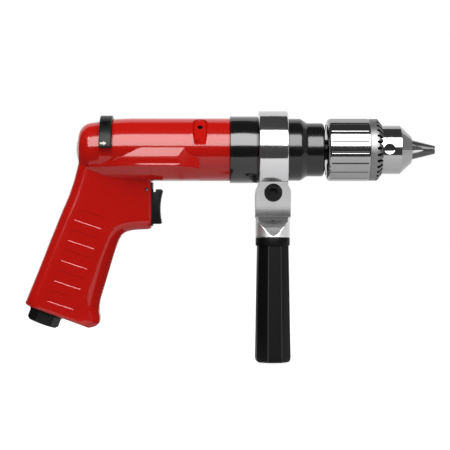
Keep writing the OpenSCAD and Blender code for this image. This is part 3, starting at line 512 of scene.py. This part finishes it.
def ground_steel(name, low, high, rough, painted_shade_behind=None, groove=None):
    """Turned steel with fine rings about the spindle.

    It can be painted near black behind a station, as painted shade inside the sleeve, and painted darker
    below a radius between two stations, as painted shade in the flutes.
    """
    f = Finish(name)
    rings = f.noise(420, 4, (1, 0.05, 0.05))
    cloud = f.noise(35, 3)
    colour = f.blend(cloud, (low, low, low * 1.01), (high, high, high * 1.01))
    if painted_shade_behind:
        # Painted shade: near black behind the station, where the body lies in the sleeve's shadow
        colour = f.blend(f.axes()[0] < painted_shade_behind * MM, colour, (0.012, 0.012, 0.012))
    if groove:
        # Painted shade: darker at the bottoms of the flutes
        radius, back, front = (value * MM for value in groove)
        x, y, z = f.axes()
        painted_groove_shade = (y * y + z * z < radius ** 2) * (x > back) * (x < front)
        colour = f.blend(painted_groove_shade, colour, (0.06, 0.06, 0.06))
    return f.done(
        Base_Color=colour, Metallic=1.0, Roughness=rough + 0.08 * rings,
        Normal=f.bump(rings, 0.00003, 0.3),
    )


def matte_steel(name, low, high, rough, gaps=None):
    """Blasted steel, painted near black where it is cut below a cone: painted shade in the gaps between
    the teeth.

    The cone is given by a radius, its station and its slope, and the gaps end at an outer radius.
    """
    f = Finish(name)
    pits = f.noise(1300, 3)
    cloud = f.noise(50, 3)
    colour = f.blend(cloud, (low, low, low * 1.02), (high, high, high * 1.02))
    if gaps:
        r0, x0, fall, outer = gaps
        x, y, z = f.axes()
        radius = x.math("SQRT", y * y + z * z)
        height = (radius - r0 * MM) * fall + x - x0 * MM
        # Painted shade: near black in the tooth gaps
        below = (height < -0.25 * MM) * (radius < outer * MM) * (x > (x0 - 6) * MM)
        colour = f.blend(below, colour, (0.004, 0.004, 0.004))
    return f.done(
        Base_Color=colour, Metallic=1.0, Roughness=rough + 0.15 * cloud,
        Normal=f.bump(pits, 0.00002, 0.4),
    )


def black_oxide():
    f = Finish("black_oxide")
    cloud = f.noise(120, 3)
    colour = f.blend(cloud, (0.002, 0.002, 0.0022), (0.005, 0.005, 0.0055))
    return f.done(Base_Color=colour, Roughness=0.25 + 0.16 * cloud, Specular_IOR_Level=0.15)


def turned_brass():
    f = Finish("turned_brass")
    rings = f.noise(500, 3, (1, 0.1, 0.1))
    colour = f.blend(rings, (0.60, 0.40, 0.14), (0.72, 0.52, 0.22))
    return f.done(Base_Color=colour, Metallic=1.0, Roughness=0.25 + 0.15 * rings)


def vane_laminate():
    f = Finish("vane_laminate")
    weave = f.noise(700, 3, (0.3, 1, 1))
    colour = f.blend(weave, (0.16, 0.08, 0.03), (0.30, 0.17, 0.08))
    return f.done(Base_Color=colour, Roughness=0.5 + 0.2 * weave)


def cream_paint():
    f = Finish("cream_paint")
    cloud = f.noise(300, 2)
    colour = f.blend(cloud, (0.72, 0.70, 0.58), (0.82, 0.80, 0.68))
    return f.done(Base_Color=colour, Roughness=0.4 + 0.1 * cloud)


RED = red_enamel()
BLACK = black_enamel()
PLASTIC = moulded_black("moulded_black")
HANDLE = moulded_black("handle_plastic", painted_edge_highlights=True)
LEVER = lever_resin()
RUBBER = soft_rubber()
ALLOY = polished_alloy()
BLASTED = blasted_alloy()
CHUCK = ground_steel("chuck_steel", 0.27, 0.36, 0.05)
FLUTED = ground_steel("fluted_steel", 0.27, 0.36, 0.05, groove=(22.92, -60, -33))
CHUCK_BODY = ground_steel("chuck_body_steel", 0.32, 0.42, 0.06, painted_shade_behind=-50)
STEEL = ground_steel("machined_steel", 0.25, 0.36, 0.2)
JAW_STEEL = matte_steel("jaw_steel", 0.07, 0.12, 0.28)
TOOTHED = matte_steel("toothed_steel", 0.17, 0.24, 0.38, gaps=(18.75, -22.2, 0.78, 22.6))
OXIDE = black_oxide()
BRASS = turned_brass()
LAMINATE = vane_laminate()
CREAM = cream_paint()

SLOT_FINISHES = {
    "red_paint": RED, "black_coat": BLACK, "black_plastic": PLASTIC, "rubber": RUBBER,
    "bright_alloy": ALLOY, "chuck_steel": CHUCK, "steel": STEEL, "dark_steel": OXIDE,
    "brass": BRASS, "vane_laminate": LAMINATE,
}
NODE_FINISHES = {
    "chuck_body": CHUCK_BODY, "chuck_jaw_a": JAW_STEEL, "chuck_jaw_b": JAW_STEEL,
    "chuck_jaw_c": JAW_STEEL, "inlet_bushing": OXIDE, "trigger_pin": OXIDE, "spindle": OXIDE,
}


def paint_nodes():
    """Gives every carried-over node its own finish, or that of its slot."""
    for part in frame["record"]["subparts"]:
        node = frame["nodes"][part["node"]]
        node.data.materials.clear()
        node.data.materials.append(NODE_FINISHES.get(part["node"], SLOT_FINISHES[part["material_slot"]]))


# Housing

BARREL_R = 23.1
# The groove that the reverse lever turns in
GROOVE_R, GROOVE_BACK, GROOVE_FRONT = 21.4, -229.05, -219.55
# The lock screw's place along the barrel, and how far it is turned from the top, in degrees
LOCK_X, LOCK_TURN = -155.6, 50
POCKET_FLOOR, POCKET_TOP = 19.2, 30
# The height of the trigger's stem and of the throttle valve behind it
THROTTLE_Z = -42


def lever_room(name):
    """The space that the lever swings in."""
    outer = 27
    outline = [
        (GROOVE_R, GROOVE_BACK), (outer, GROOVE_BACK), (outer, GROOVE_FRONT), (GROOVE_R, GROOVE_FRONT),
    ]
    return swept(name, outline, -91.6, 183.2, 96)


def pocket_slot(name):
    """The scooped slot of the lock screw, with leaning walls, open at its lower end."""
    loops = []
    for height in (POCKET_FLOOR, POCKET_TOP):
        half = 4.1 + 0.36 * (height - POCKET_FLOOR)
        ends = [(-half, -23), (half, -23)] + arc((0, 7.6), half, 0, 180, 24)
        loops.append([leaned(LOCK_X + x, y, height, LOCK_TURN) for x, y in ends])
    return stacked(name, loops)


def barrel():
    dome = arc((9.48, -234.6), 10.4, -10, -90, 20)
    piece = turned("barrel", [
        (0, -233.25), (17.6, -233.25), (17.6, -122), (20.9, -122), (20.9, -133.9), (22.7, -133.9),
        (23, -134.05), (BARREL_R, -134.4), (BARREL_R, -170), (BARREL_R, -205.55), (22.9, -212),
        (22.55, -219), (22.35, GROOVE_FRONT), (GROOVE_R, GROOVE_FRONT), (GROOVE_R, GROOVE_BACK),
        (20.9, GROOVE_BACK),
    ] + dome + [(7.2, -245.75), (4.6, -246.35), (2, -246.65), (0, -246.7)], 192)
    cut(piece, pocket_slot("pocket"))
    hole_ends = [leaned(LOCK_X, 4.65, height, LOCK_TURN) for height in (12, POCKET_TOP)]
    cut(piece, drum("lock_hole", 2.02, *hole_ends, 32))
    for start in (-49, 7):
        outline = [(16, -226.2), (24, -226.2), (24, -222.4), (16, -222.4)]
        cut(piece, swept("screw_slot", outline, start, 42, 24))
    return piece


# Half the hip's cross-section, the heights of the lip on it, and its stations with how wide it is there
HIP_OUTLINE = [
    (0, 6), (22, 6), (22.6, 4.2), (22.95, 1.5), (23.45, -2), (23.85, -5), (24, -6.6), (24.04, -8.2),
    (24.04, -10.6), (24.06, -11.4), (24.06, -12.1), (23.98, -12.7), (23.65, -13.3), (22.9, -13.9),
    (19, -18), (15, -21.2), (11.5, -22.5), (0, -23),
]
HIP_LIP = (-13.4, -11.8)
HIP_STATIONS = [
    (-156, 1), (-180, 1), (-198, 1), (-202, 0.992), (-206, 0.972), (-210, 0.94), (-214, 0.905),
    (-218, 0.865), (-222, 0.82), (-226, 0.775), (-230, 0.73), (-235, 0.68), (-239, 0.64),
]


def hip():
    """The broad part of the housing that overhangs the grip."""
    loops = []
    for x, wide in HIP_STATIONS:
        lip = 0.25 * min(1, max(0, (x + 208) / 12))
        left = [(y + lip if HIP_LIP[0] < z < HIP_LIP[1] else y, z) for y, z in HIP_OUTLINE]
        right = [(-y, z) for y, z in reversed(left[1:-1])]
        loops.append([(x, y * wide, z) for y, z in left + right])
    piece = stacked("hip", loops)
    for side in (-1, 1):
        sliced(piece, (-164.4, side * 22.7, 1.7), (0.136, side * 0.99, 0.04), 0.5)
    hip_bore = drum("hip_bore", 20, (-240, 0, 0), (-150, 0, 0), 96)
    return cut(piece, lever_room("hip_lever_room"), hip_bore, pocket_slot("hip_pocket"))


# The grip's side view: its rear edge by depth, and its front edge with how broadly it is rounded there
GRIP_REAR = [
    (-6, -244), (-14, -245.8), (-24, -248.4), (-34, -251.8), (-44, -256.1), (-50.5, -258.8),
    (-58.2, -261.8), (-65, -264.6), (-76, -268.9), (-88, -273.6), (-100, -278.5), (-111.2, -283.1),
    (-112.5, -283.4), (-113.3, -282.8), (-113.8, -281.5),
]
GRIP_FRONT = [
    (-6, -196, 3), (-14, -191.6, 3), (-24, -191.4, 3), (-53, -191.4, 3), (-55, -191.4, 3.5),
    (-56.5, -191.4, 4.5), (-57.6, -191.6, 6), (-58.2, -192.3, 7), (-58.5, -194.5, 7), (-58.7, -198, 7),
    (-58.9, -202, 7), (-59.2, -205, 7), (-59.9, -208.2, 7.3), (-61, -211, 7.7), (-62.6, -213.1, 8.2),
    (-65, -214.9, 9), (-69, -216.5, 10), (-76, -218.9, 11), (-82, -220.7, 11.5), (-88, -222.5, 12),
    (-94, -224.2, 12), (-100, -225.9, 12), (-108, -228.4, 12), (-113, -229.7, 11.5), (-118, -230.1, 11),
    (-122, -229.3, 10), (-125.6, -229.2, 9), (-127.6, -229.8, 8), (-129, -231.1, 7),
    (-129.8, -232.6, 6.5), (-130.3, -234.4, 6), (-130.6, -236.9, 6),
]
# Level rows down to the bend below the trigger, then rows that lean more and more with the foot
GRIP_LEVELS = [
    -6, -14, -24, -34, -44, -50.5, -53, -55, -56.5, -57.6, -58.2, -58.5, -58.7, -58.9, -59.2, -59.9,
    -61, -62.6,
]
GRIP_DROPS = [
    0.05, 0.11, 0.18, 0.26, 0.35, 0.44, 0.53, 0.62, 0.7, 0.77, 0.83, 0.88, 0.915, 0.94, 0.958, 0.97,
    0.98, 0.988, 0.995, 1,
]
# Where points lie along a row, from the rear to the front
GRIP_SHARES = [
    0, 0.002, 0.008, 0.018, 0.034, 0.055, 0.08, 0.11, 0.15, 0.2, 0.27, 0.36, 0.45, 0.54, 0.62, 0.69,
    0.75, 0.8, 0.845, 0.885, 0.92, 0.95, 0.97, 0.985, 0.995, 1,
]
FOOT_ROUND = 2
REAR_ROUND = 9.5
# A point of the grip's foot, the middle of its inlet and of its exhaust, and the ways that they face
FOOT = Vector((-281.3, 0, -113.9))
DOWN = Vector((-0.352, 0, -0.936))
FORWARD = Vector((0.936, 0, -0.352))
INLET = Vector((-268.54, 0, -118.69))
EXHAUST = INLET + FORWARD * 19.8


def read_off(table, z):
    """A place of a table of depths, read between its rows."""
    for high, low in zip(table, table[1:]):
        if z >= low[0]:
            break
    return high[1] + (low[1] - high[1]) * (z - high[0]) / (low[0] - high[0])


def front_edge():
    """Close points along the grip's front outline, each with its rounding."""
    points = []
    for high, low in zip(GRIP_FRONT, GRIP_FRONT[1:]):
        steps = max(1, round(math.hypot(low[0] - high[0], low[1] - high[1]) / 0.7))
        for k in range(steps):
            points.append([a + (b - a) * k / steps for a, b in zip(high, low)])
    return points


def round_off(depth, radius):
    """How far a rounded edge drops at a depth from its outline."""
    return radius - math.sqrt(radius ** 2 - (radius - depth) ** 2) if depth < radius else 0


def grip_flat(x):
    """Half the grip's width: it thickens from the trigger to the rear."""
    return min(17.45, 11.5 + 0.07 * (-191.4 - x))


def grip_side(x, z, edge):
    """Half the grip's width at a place, with its front, rear and foot rounded."""
    front = max(round_off(math.hypot(x - ex, z - ez), radius) for ez, ex, radius in edge)
    rear = round_off(max(0, x - read_off(GRIP_REAR, max(z, -110))) * 0.93, REAR_ROUND)
    foot = round_off(max(0, (FOOT - Vector((x, 0, z))).dot(DOWN)), FOOT_ROUND)
    return grip_flat(x) - max(front, rear, foot)


def grip_rows():
    """The ends of each row, rear and front, as places in the side view."""
    ends = [(z, z) for z in GRIP_LEVELS]
    top = GRIP_LEVELS[-1]
    rear_fall, front_fall = GRIP_REAR[-1][0] - top, GRIP_FRONT[-1][0] - top
    ends += [(top + rear_fall * drop, top + front_fall * drop) for drop in GRIP_DROPS]
    return [((read_off(GRIP_REAR, b), b), (read_off(GRIP_FRONT, f), f)) for b, f in ends]


# The finger panels: how they lean, how far apart they are and half their length
PANEL_LEAN = math.radians(18.5)
PANEL_STEP = 15.5
PANEL_HALF = 9.9


class Panel:
    """One shallow finger panel, with a sloped lower wall."""

    def __init__(self, number, side):
        x = -236 - PANEL_STEP * number * math.sin(PANEL_LEAN)
        z = -51.1 - PANEL_STEP * number * math.cos(PANEL_LEAN)
        self.out = Vector((0.07, side, 0)).normalized()
        along = Vector((math.cos(PANEL_LEAN), 0, -math.sin(PANEL_LEAN)))
        self.along = (along - self.out * along.dot(self.out)).normalized()
        self.up = self.along.cross(self.out) * side
        self.middle = Vector((x, side * grip_flat(x), z))

    def tool(self):
        """The solid that cuts the panel."""
        section = [(-3.9, -0.24), (4.3, -0.24), (4.7, 0.8), (-6.5, 0.8)]
        start = self.middle - self.along * PANEL_HALF
        corners = [start + self.up * v + self.out * w for v, w in section]
        return prism("panel", corners, self.along * 2 * PANEL_HALF)

    def holds(self, point):
        """Whether a point of the grip lies on the panel."""
        offset = point - self.middle
        along, up, out = offset.dot(self.along), offset.dot(self.up), offset.dot(self.out)
        return abs(along) < PANEL_HALF + 0.05 and -4.7 < up < 4.5 and abs(out) < 0.5


def grip():
    edge = front_edge()
    loops = []
    for (bx, bz), (fx, fz) in grip_rows():
        near = []
        for share in GRIP_SHARES:
            x, z = bx + (fx - bx) * share, bz + (fz - bz) * share
            near.append((x, -grip_side(x, z, edge), z))
        loops.append(near + [(x, -y, z) for x, y, z in reversed(near)])
    piece = stacked("grip", loops)
    cut(
        piece,
        block("trigger_room", (-210.7, -7.8, -55.05), (-185, 7.8, -28.95)),
        block("plate_room", (-192, -9.22, -56.2), (-185, 9.22, -24.2)),
        drum("throttle_room", 7.02, (-245, 0, THROTTLE_Z), (-205, 0, THROTTLE_Z)),
        drum("grip_bore", 20, (-233.25, 0, 0), (-180, 0, 0), 96),
        drum("inlet_room", 9.1, INLET + DOWN * 5, INLET - DOWN * 16),
        drum("exhaust_room", 5.52, EXHAUST + DOWN * 5, EXHAUST - DOWN * 40),
    )
    for y in (-10.2, 10.2):
        start = EXHAUST + Vector((0, y, 0))
        cut(piece, drum("exhaust_side", 2.6, start + DOWN * 5, start - DOWN * 60, 32))
    panels = [Panel(number, side) for number in range(5) for side in (-1, 1)]
    cut(piece, *[panel.tool() for panel in panels])
    cut(piece, drum("pin_room", 1.32, (-194.7, -20, -29.55), (-194.7, 20, -29.55), 32))
    edit(piece)
    select_edges(piece, lambda a, b: any(panel.holds(a) and panel.holds(b) for panel in panels))
    bpy.ops.mesh.mark_sharp()
    bpy.ops.object.mode_set(mode="OBJECT")
    return piece


def housing():
    piece = join(barrel(), hip(), grip())
    piece.name = "housing_casting"
    edit(piece)
    bpy.ops.mesh.fill_holes(sides=4)
    bpy.ops.object.mode_set(mode="OBJECT")
    return finished(piece, "drill", RED, "red_paint", "housing", angle=28)


# Lever, trigger and throttle spring


def reverse_lever():
    inner, outer, back, front, middle = 21.5, 25.1, -228.75, -219.85, -224.3
    outline = [(inner, back), (outer, back), (outer, front), (inner, front)]
    strap = swept("lever_strap", outline, -60, 150, 60)
    softened(strap, 0.7, 3)
    for turn in (-13, 43):
        cut(strap, drum("head_room", 2.62, around(middle, 23.7, turn), around(middle, 27, turn), 32))
        cut(strap, drum("screw_room", 1.62, around(middle, 20, turn), around(middle, 25, turn), 24))
    return finished(strap, "reverse_unit", LEVER, "black_plastic", "reverse_lever")


def lever_arrow():
    """A plain arrow that shows the way the spindle turns."""
    shape = [
        (-227.9, -0.75), (-225.4, -0.75), (-225.4, -1.65), (-223, 0), (-225.4, 1.65), (-225.4, 0.75),
        (-227.9, 0.75),
    ]
    turn, inner, thick = 82.3, 24.9, 0.25
    up = -around(0, 1, turn + 90)
    out = around(0, 1, turn)
    outline = [Vector((x, 0, 0)) + up * v + out * inner for x, v in shape]
    arrow = prism("lever_arrow", outline, out * thick)
    return finished(softened(arrow, 0.06, 2), "reverse_unit", CREAM, "black_plastic")


def trigger():
    """The finger piece: hollow in front, with rounded tips and a notch on top for its pin."""
    top, height, back, tip_round, wide = -29.25, 25.5, -205.4, 1.4, 15
    # The points next to the tips make room for their rounding
    heights = [top - height * k / 20 for k in range(21) if k not in (1, 19)]
    curve = [(-140 - math.sqrt(45 ** 2 - (z + 43.53) ** 2), z) for z in heights]
    notch = [(-196.3, top), (-196.3, -31.15), (-188.1, -31.15), (-188.1, top)]
    outline = [(back, top - height), (back, top), *notch]
    upper_tip = fillet(outline[-1], curve[0], curve[1], tip_round, 5)
    lower_tip = fillet(curve[-2], curve[-1], outline[0], tip_round, 5)
    shape = [*outline, *upper_tip, *curve[1:-1], *lower_tip]
    piece = prism("trigger_shape", [(x, -wide / 2, z) for x, z in shape], (0, wide, 0))
    softened(piece, 0.5, 3)
    cut(piece, drum("stem_room", 2.52, (-207, 0, THROTTLE_Z), (-199.4, 0, THROTTLE_Z), 32))
    return finished(piece, "trigger_unit", PLASTIC, "black_plastic", "trigger")


def throttle_spring():
    """The coil behind the throttle valve. The trigger shortens it, but here it is drawn at one length.
    """
    front, back, turns, steps = -229.81, -244.34, 6, 72
    coil_r, wire_r = 3.8, 0.45
    loops = []
    for k in range(steps + 1):
        turn = math.tau * turns * k / steps
        wire = arc((coil_r, front + (back - front) * k / steps), wire_r, 0, -315, 7)
        loops.append([(x, r * math.cos(turn), THROTTLE_Z + r * math.sin(turn)) for r, x in wire])
    spring = finished(stacked("throttle_coil", loops), "drill", STEEL, "steel", "throttle_spring")
    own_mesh(spring)
    return spring


# Gear case and chuck


def gear_case():
    nose_r, case_r, steps = 19.65, 22.85, 16
    rise = (case_r - nose_r) / 2
    shoulder = []
    for k in range(steps + 1):
        shoulder.append((nose_r + rise * (1 - math.cos(math.pi * k / steps)), -76.2 - 6.6 * k / steps))
    inside = [
        (20.95, -133.9), (20.95, -122), (19.32, -122), (19.32, -94.5), (17.5, -94.5), (17.5, -68),
        (12, -68), (12, -64.6),
    ]
    nose = arc((nose_r - 2, -66.6), 2, 90, 0, 8)
    collar = [
        (case_r, -113.2), (24, -113.2), (24.4, -113.35), (24.6, -113.7), (24.6, -133.3), (24.4, -133.7),
        (24, -133.9), (20.95, -133.9),
    ]
    piece = turned("gear_case_shape", inside + nose + shoulder + collar, 192)
    return finished(piece, "drill", BLACK, "black_coat", "gear_case")


def rods(name, radius, count, first, start, end):
    """Rods set evenly about the spindle, for cutting; each end is a radius and a station."""
    (r0, x0), (r1, x1) = start, end
    turns = [first + 360 * k / count for k in range(count)]
    return join(*[drum(name, radius, around(x0, r0, a), around(x1, r1, a), 48) for a in turns])


def chuck_sleeve():
    """The turned shell of the sleeve, with shallow flutes."""
    shell = turned("sleeve_shell", [
        (21.2, -31.7), (22.6, -31.7), (22.87, -31.8), (23, -32.1), (23, -59.8), (22.85, -60.6),
        (22.5, -61.3), (21.9, -61.9), (21, -62.4), (19.8, -62.8), (19.2, -62.9), (18.6, -62.9),
        (18.6, -62.5), (19.8, -62.25), (20.8, -61.75), (21.2, -61.45), (21.2, -31.7),
    ], 216)
    cut(shell, rods("flute", 2, 18, 18, (24.86, -33), (24.86, -60)))
    return finished(shell, "sleeve_unit", FLUTED, "chuck_steel", "chuck_sleeve", angle=15)


def key_hole_points():
    """The drill points at the bottoms of the three key holes."""
    outline = [(0, 9.2), (3.97, 9.2), (3.97, 10.33), (0, 9.42)]
    points = []
    for k in range(3):
        turn = math.radians(120 * k)
        axis = (0, -math.cos(turn), math.sin(turn))
        points.append(turned("key_hole_points", outline, 48, (-17.6, 0, 0), axis))
    return finished(join(*points), "spindle_unit", CHUCK, "chuck_steel")


def key_ring():
    """The toothed ring that the chuck key turns."""
    ring = turned("key_ring", [
        (17.95, -22.1), (18.5, -22.1), (18.75, -22.2), (22.55, -25.15), (22.75, -25.5), (22.75, -31.3),
        (22.6, -31.6), (21.2, -31.6), (21.2, -26.7), (17.95, -26.7), (17.95, -22.1),
    ], 216)
    cut(ring, rods("tooth_gap", 1.15, 30, 6, (16.5, -20.7), (25.5, -27.8)))
    return finished(ring, "sleeve_unit", TOOTHED, "chuck_steel", "chuck_sleeve", angle=30)


# Side handle

# Half the width of the slot that splits the clamp
SLOT_HALF = 1.25
# The hole for the stud that holds the grip on the leg
STUD_ROOM_R = 6.05


def clamp_ring():
    inner, outer, back, front, rim = 22.9, 28.6, -112.9, -91.3, 1.3
    back_rim = arc((outer - rim, back + rim), rim, -90, 0, 5)
    front_rim = arc((outer - rim, front - rim), rim, 0, 90, 5)
    profile = [(inner, back), *back_rim, *front_rim, (inner, front), (inner, back)]
    piece = turned("clamp_ring", profile, 192)
    cut(piece, block("ring_slot", (-120, -SLOT_HALF, -40), (-85, SLOT_HALF, -15)))
    return finished(piece, "side_handle", ALLOY, "bright_alloy", "handle_clamp")


def clamp_leg():
    """The cast leg under the ring: hollowed front and rear, with a round boss at its foot."""
    back, front, screw_z = HANDLE_X - 30, HANDLE_X + 30, -31.9

    def cutter(name, side, profile):
        """A solid right across the leg, on one side of it, from its side view."""
        return prism(name, [(back, side * y, z) for y, z in profile], (front - back, 0, 0))

    rear = [(-10.8, -20), (-10.8, -26.3), (-12.6, -29.6), (-13.05, -33), (-13.05, -50)]
    outline = rear + [(-x, z) for x, z in reversed(rear)]
    leg = prism("clamp_leg", [(HANDLE_X + x, -16, z) for x, z in outline], (0, 32, 0))
    boss = drum("boss", BOSS_R, (HANDLE_X, 0, -64.6), (HANDLE_X, 0, -49.9), 96)
    # The boss is roughly cut before both are melted together, and the facet is cut sharp after it
    rough = [(6.6, -46), (6.6, -52.4), (13.6, -61.5), (20, -63), (20, -46)]
    milled = [(6.7, -45.6), (6.25, -47.5), (6.02, -49.8), *FOOT_FACET, (20, -66), (20, -45.6)]
    for side in (-1, 1):
        cut(leg, drum("leg_hollow", 46, (back, side * 51.9, -53), (front, side * 51.9, -53), 192))
        cut(boss, cutter("foot_room", side, rough))
    combine(leg, boss, "UNION")
    modified(leg, "REMESH", mode="VOXEL", voxel_size=0.4 * MM)
    modified(leg, "SMOOTH", factor=0.5, iterations=4)
    cut(leg, *[cutter("foot_facet", side, milled) for side in (-1, 1)])
    cut(
        leg,
        drum("bore_room", 23.2, (back, 0, 0), (front, 0, 0), 128),
        block("leg_slot", (back, -SLOT_HALF, -43), (front, SLOT_HALF, 0)),
        drum("head_room", 6.6, (HANDLE_X, -5, screw_z), (HANDLE_X, -40, screw_z), 96),
        drum("shank_room", 4.1, (HANDLE_X, -10, screw_z), (HANDLE_X, 40, screw_z), 48),
        drum("stud_room", STUD_ROOM_R, (HANDLE_X, 0, -70), (HANDLE_X, 0, -52), 48),
    )
    return finished(leg, "side_handle", BLASTED, "bright_alloy", "handle_clamp", angle=30)


def side_grip():
    """A slightly tapered, eight-sided grip under a round flange."""
    turns = [SIDE_GRIP_TURN + 2 * HALF_FACET * k for k in range(8)]
    corners = [(math.cos(turn), math.sin(turn)) for turn in turns]
    levels = [
        (-70.6, 11.3), (-110, 11.97), (-152.8, 12.7), (-154.6, 12.5), (-155.8, 12), (-156.45, 11.1),
        (-156.6, 9.6),
    ]
    loops = []
    for z, flat in levels:
        reach = flat / math.cos(HALF_FACET)
        outline = rounded([(HANDLE_X + reach * x, reach * y) for x, y in corners], 1.8, 4)
        loops.append([(x, y, z) for x, y in outline])
    piece = stacked("side_grip_shape", loops)
    flange = turned("flange", [
        (6.1, -64.75), (12.2, -64.75), (12.55, -64.9), (12.65, -65.3), (12.65, -70), (12.5, -70.5),
        (12.1, -70.75), (6.1, -70.75), (6.1, -64.75),
    ], 96, (HANDLE_X, 0, 0), (0, 0, 1))
    cut(piece, drum("stud_room", STUD_ROOM_R, (HANDLE_X, 0, -60), (HANDLE_X, 0, -145), 48))
    join(piece, flange)
    return finished(piece, "side_handle", HANDLE, "black_plastic", "side_grip")


# Studio


def studio_panel(name, corners, strength):
    """A flat card that only reflections see."""
    deselect()
    bpy.ops.mesh.primitive_plane_add(size=2)
    card = bpy.context.object
    card.name = name
    for vertex, corner in zip(card.data.vertices, corners):
        vertex.co = corner
    material = bpy.data.materials.new(name)
    material.use_nodes = True
    tree = material.node_tree
    tree.nodes.clear()
    glow = tree.nodes.new("ShaderNodeEmission")
    glow.inputs["Color"].default_value = (1, 1, 1, 1)
    glow.inputs["Strength"].default_value = strength
    output = tree.nodes.new("ShaderNodeOutputMaterial")
    tree.links.new(glow.outputs[0], output.inputs["Surface"])
    card.data.materials.append(material)
    card.visible_camera = False
    card.visible_diffuse = False
    card.visible_shadow = False
    return card


# The studio is in metres
FLOOR_Z = -0.1575
ROOM_LIGHT = 0.26
# How bright a dark card is
DARK = 0.085


def white_world():
    world = bpy.data.worlds.new("white_room")
    bpy.context.scene.world = world
    world.use_nodes = True
    tree = world.node_tree
    tree.nodes.clear()
    path = tree.nodes.new("ShaderNodeLightPath")
    seen = Wire(tree, path.outputs["Is Camera Ray"])
    seen = seen.math("MAXIMUM", seen, Wire(tree, path.outputs["Is Glossy Ray"]))
    seen = seen.math("MAXIMUM", seen, Wire(tree, path.outputs["Is Transmission Ray"]))
    background = tree.nodes.new("ShaderNodeBackground")
    background.inputs["Color"].default_value = (1, 1, 1, 1)
    tree.links.new((ROOM_LIGHT + (1 - ROOM_LIGHT) * seen).socket, background.inputs["Strength"])
    output = tree.nodes.new("ShaderNodeOutputWorld")
    tree.links.new(background.outputs[0], output.inputs["Surface"])


def pale_floor():
    deselect()
    bpy.ops.mesh.primitive_plane_add(size=6, location=(-0.14, 2.4, FLOOR_Z))
    floor = bpy.context.object
    floor.name = "floor"
    f = Finish("pale_floor")
    cloud = f.noise(2, 2)
    colour = f.blend(cloud, (0.54, 0.54, 0.54), (0.56, 0.56, 0.56))
    shader = f.node("BsdfPrincipled", {"Base Color": colour, "Roughness": 0.7})
    seen = 0.82 * f.node("LightPath", out="Is Camera Ray")
    mirrored = 0.5 * f.node("LightPath", out="Is Glossy Ray")
    glow = f.node("Emission", {"Color": (1, 1, 1, 1), "Strength": seen + mirrored})
    both = f.node("AddShader", {0: shader, 1: glow})
    f.node("OutputMaterial", {"Surface": both})
    floor.data.materials.append(f.material)


def softbox(name, place, target, size, power):
    light = bpy.data.lights.new(name, "AREA")
    light.shape = "RECTANGLE"
    light.size, light.size_y = size
    light.energy = power
    lamp = bpy.data.objects.new(name, light)
    bpy.context.scene.collection.objects.link(lamp)
    lamp.location = place
    lamp.rotation_euler = (Vector(target) - Vector(place)).to_track_quat("-Z", "Y").to_euler()
    return lamp


def studio():
    """A white room: one softbox, and dark cards for the metal and the paint to mirror."""
    bpy.context.scene.view_settings.view_transform = "Standard"
    white_world()
    pale_floor()
    # The lamp lights, and a card in its place is what reflections see
    reach, rise = 1.3, math.radians(57)
    low, high = math.radians(12), math.radians(55)
    half = (high - low) / 2
    box = softbox(
        "main_softbox", (-0.14, -reach * math.cos(rise), reach * math.sin(rise)), (-0.14, 0, 0),
        (2.2, 2 * reach * math.tan(half)), 18,
    )
    box.visible_glossy = False
    near = reach / math.cos(half)
    edges = [(-x, -near * math.cos(a), near * math.sin(a)) for a in (low, high) for x in (0.95, -0.82)]
    studio_panel("softbox_face", edges, 10)
    wide, front, ceiling = 3, -1.6, 1.4
    floor = FLOOR_Z + 0.002
    studio_panel("dark_front", [(x, y, floor) for y in (-0.30, front) for x in (-wide, wide)], DARK)
    studio_panel("dark_wall", [(x, front, z) for z in (FLOOR_Z, 0.32) for x in (-wide, wide)], DARK)
    studio_panel("dark_floor", [(x, y, floor) for y in (1.5, front) for x in (-wide, -0.31)], DARK)
    studio_panel("flag", [(-0.172, y, z) for z in (FLOOR_Z, -0.078) for y in (-0.05, 0.15)], DARK)
    for x, bottom, strength in ((-1.5, FLOOR_Z, DARK), (1.3, -0.02, 0.4)):
        studio_panel("side_card", [(x, y, z) for z in (bottom, ceiling) for y in (front, 1.0)], strength)
    studio_panel("dark_ceiling", [(x, y, ceiling) for y in (-0.87, 0.66) for x in (-wide, wide)], DARK)


def camera():
    """Level and almost square to the drill's side, from a long way off."""
    distance, sensor = 1.1, 36
    pixels, pixel_size = 450, 0.738 * MM
    target = Vector((-137.3, 0, -55.5)) * MM
    turn = math.radians(0.6)
    data = bpy.data.cameras.new("camera")
    data.sensor_width = sensor
    data.lens = sensor * distance / (pixels * pixel_size)
    data.clip_end = 20
    view = bpy.data.objects.new("camera", data)
    bpy.context.scene.collection.objects.link(view)
    view.location = target + distance * Vector((-math.sin(turn), -math.cos(turn), 0))
    view.rotation_euler = (math.radians(90), 0, -turn)
    bpy.context.scene.camera = view


camera()
studio()
paint_nodes()
housing()
reverse_lever()
lever_arrow()
trigger()
throttle_spring()
gear_case()
chuck_sleeve()
key_hole_points()
key_ring()
clamp_ring()
clamp_leg()
side_grip()
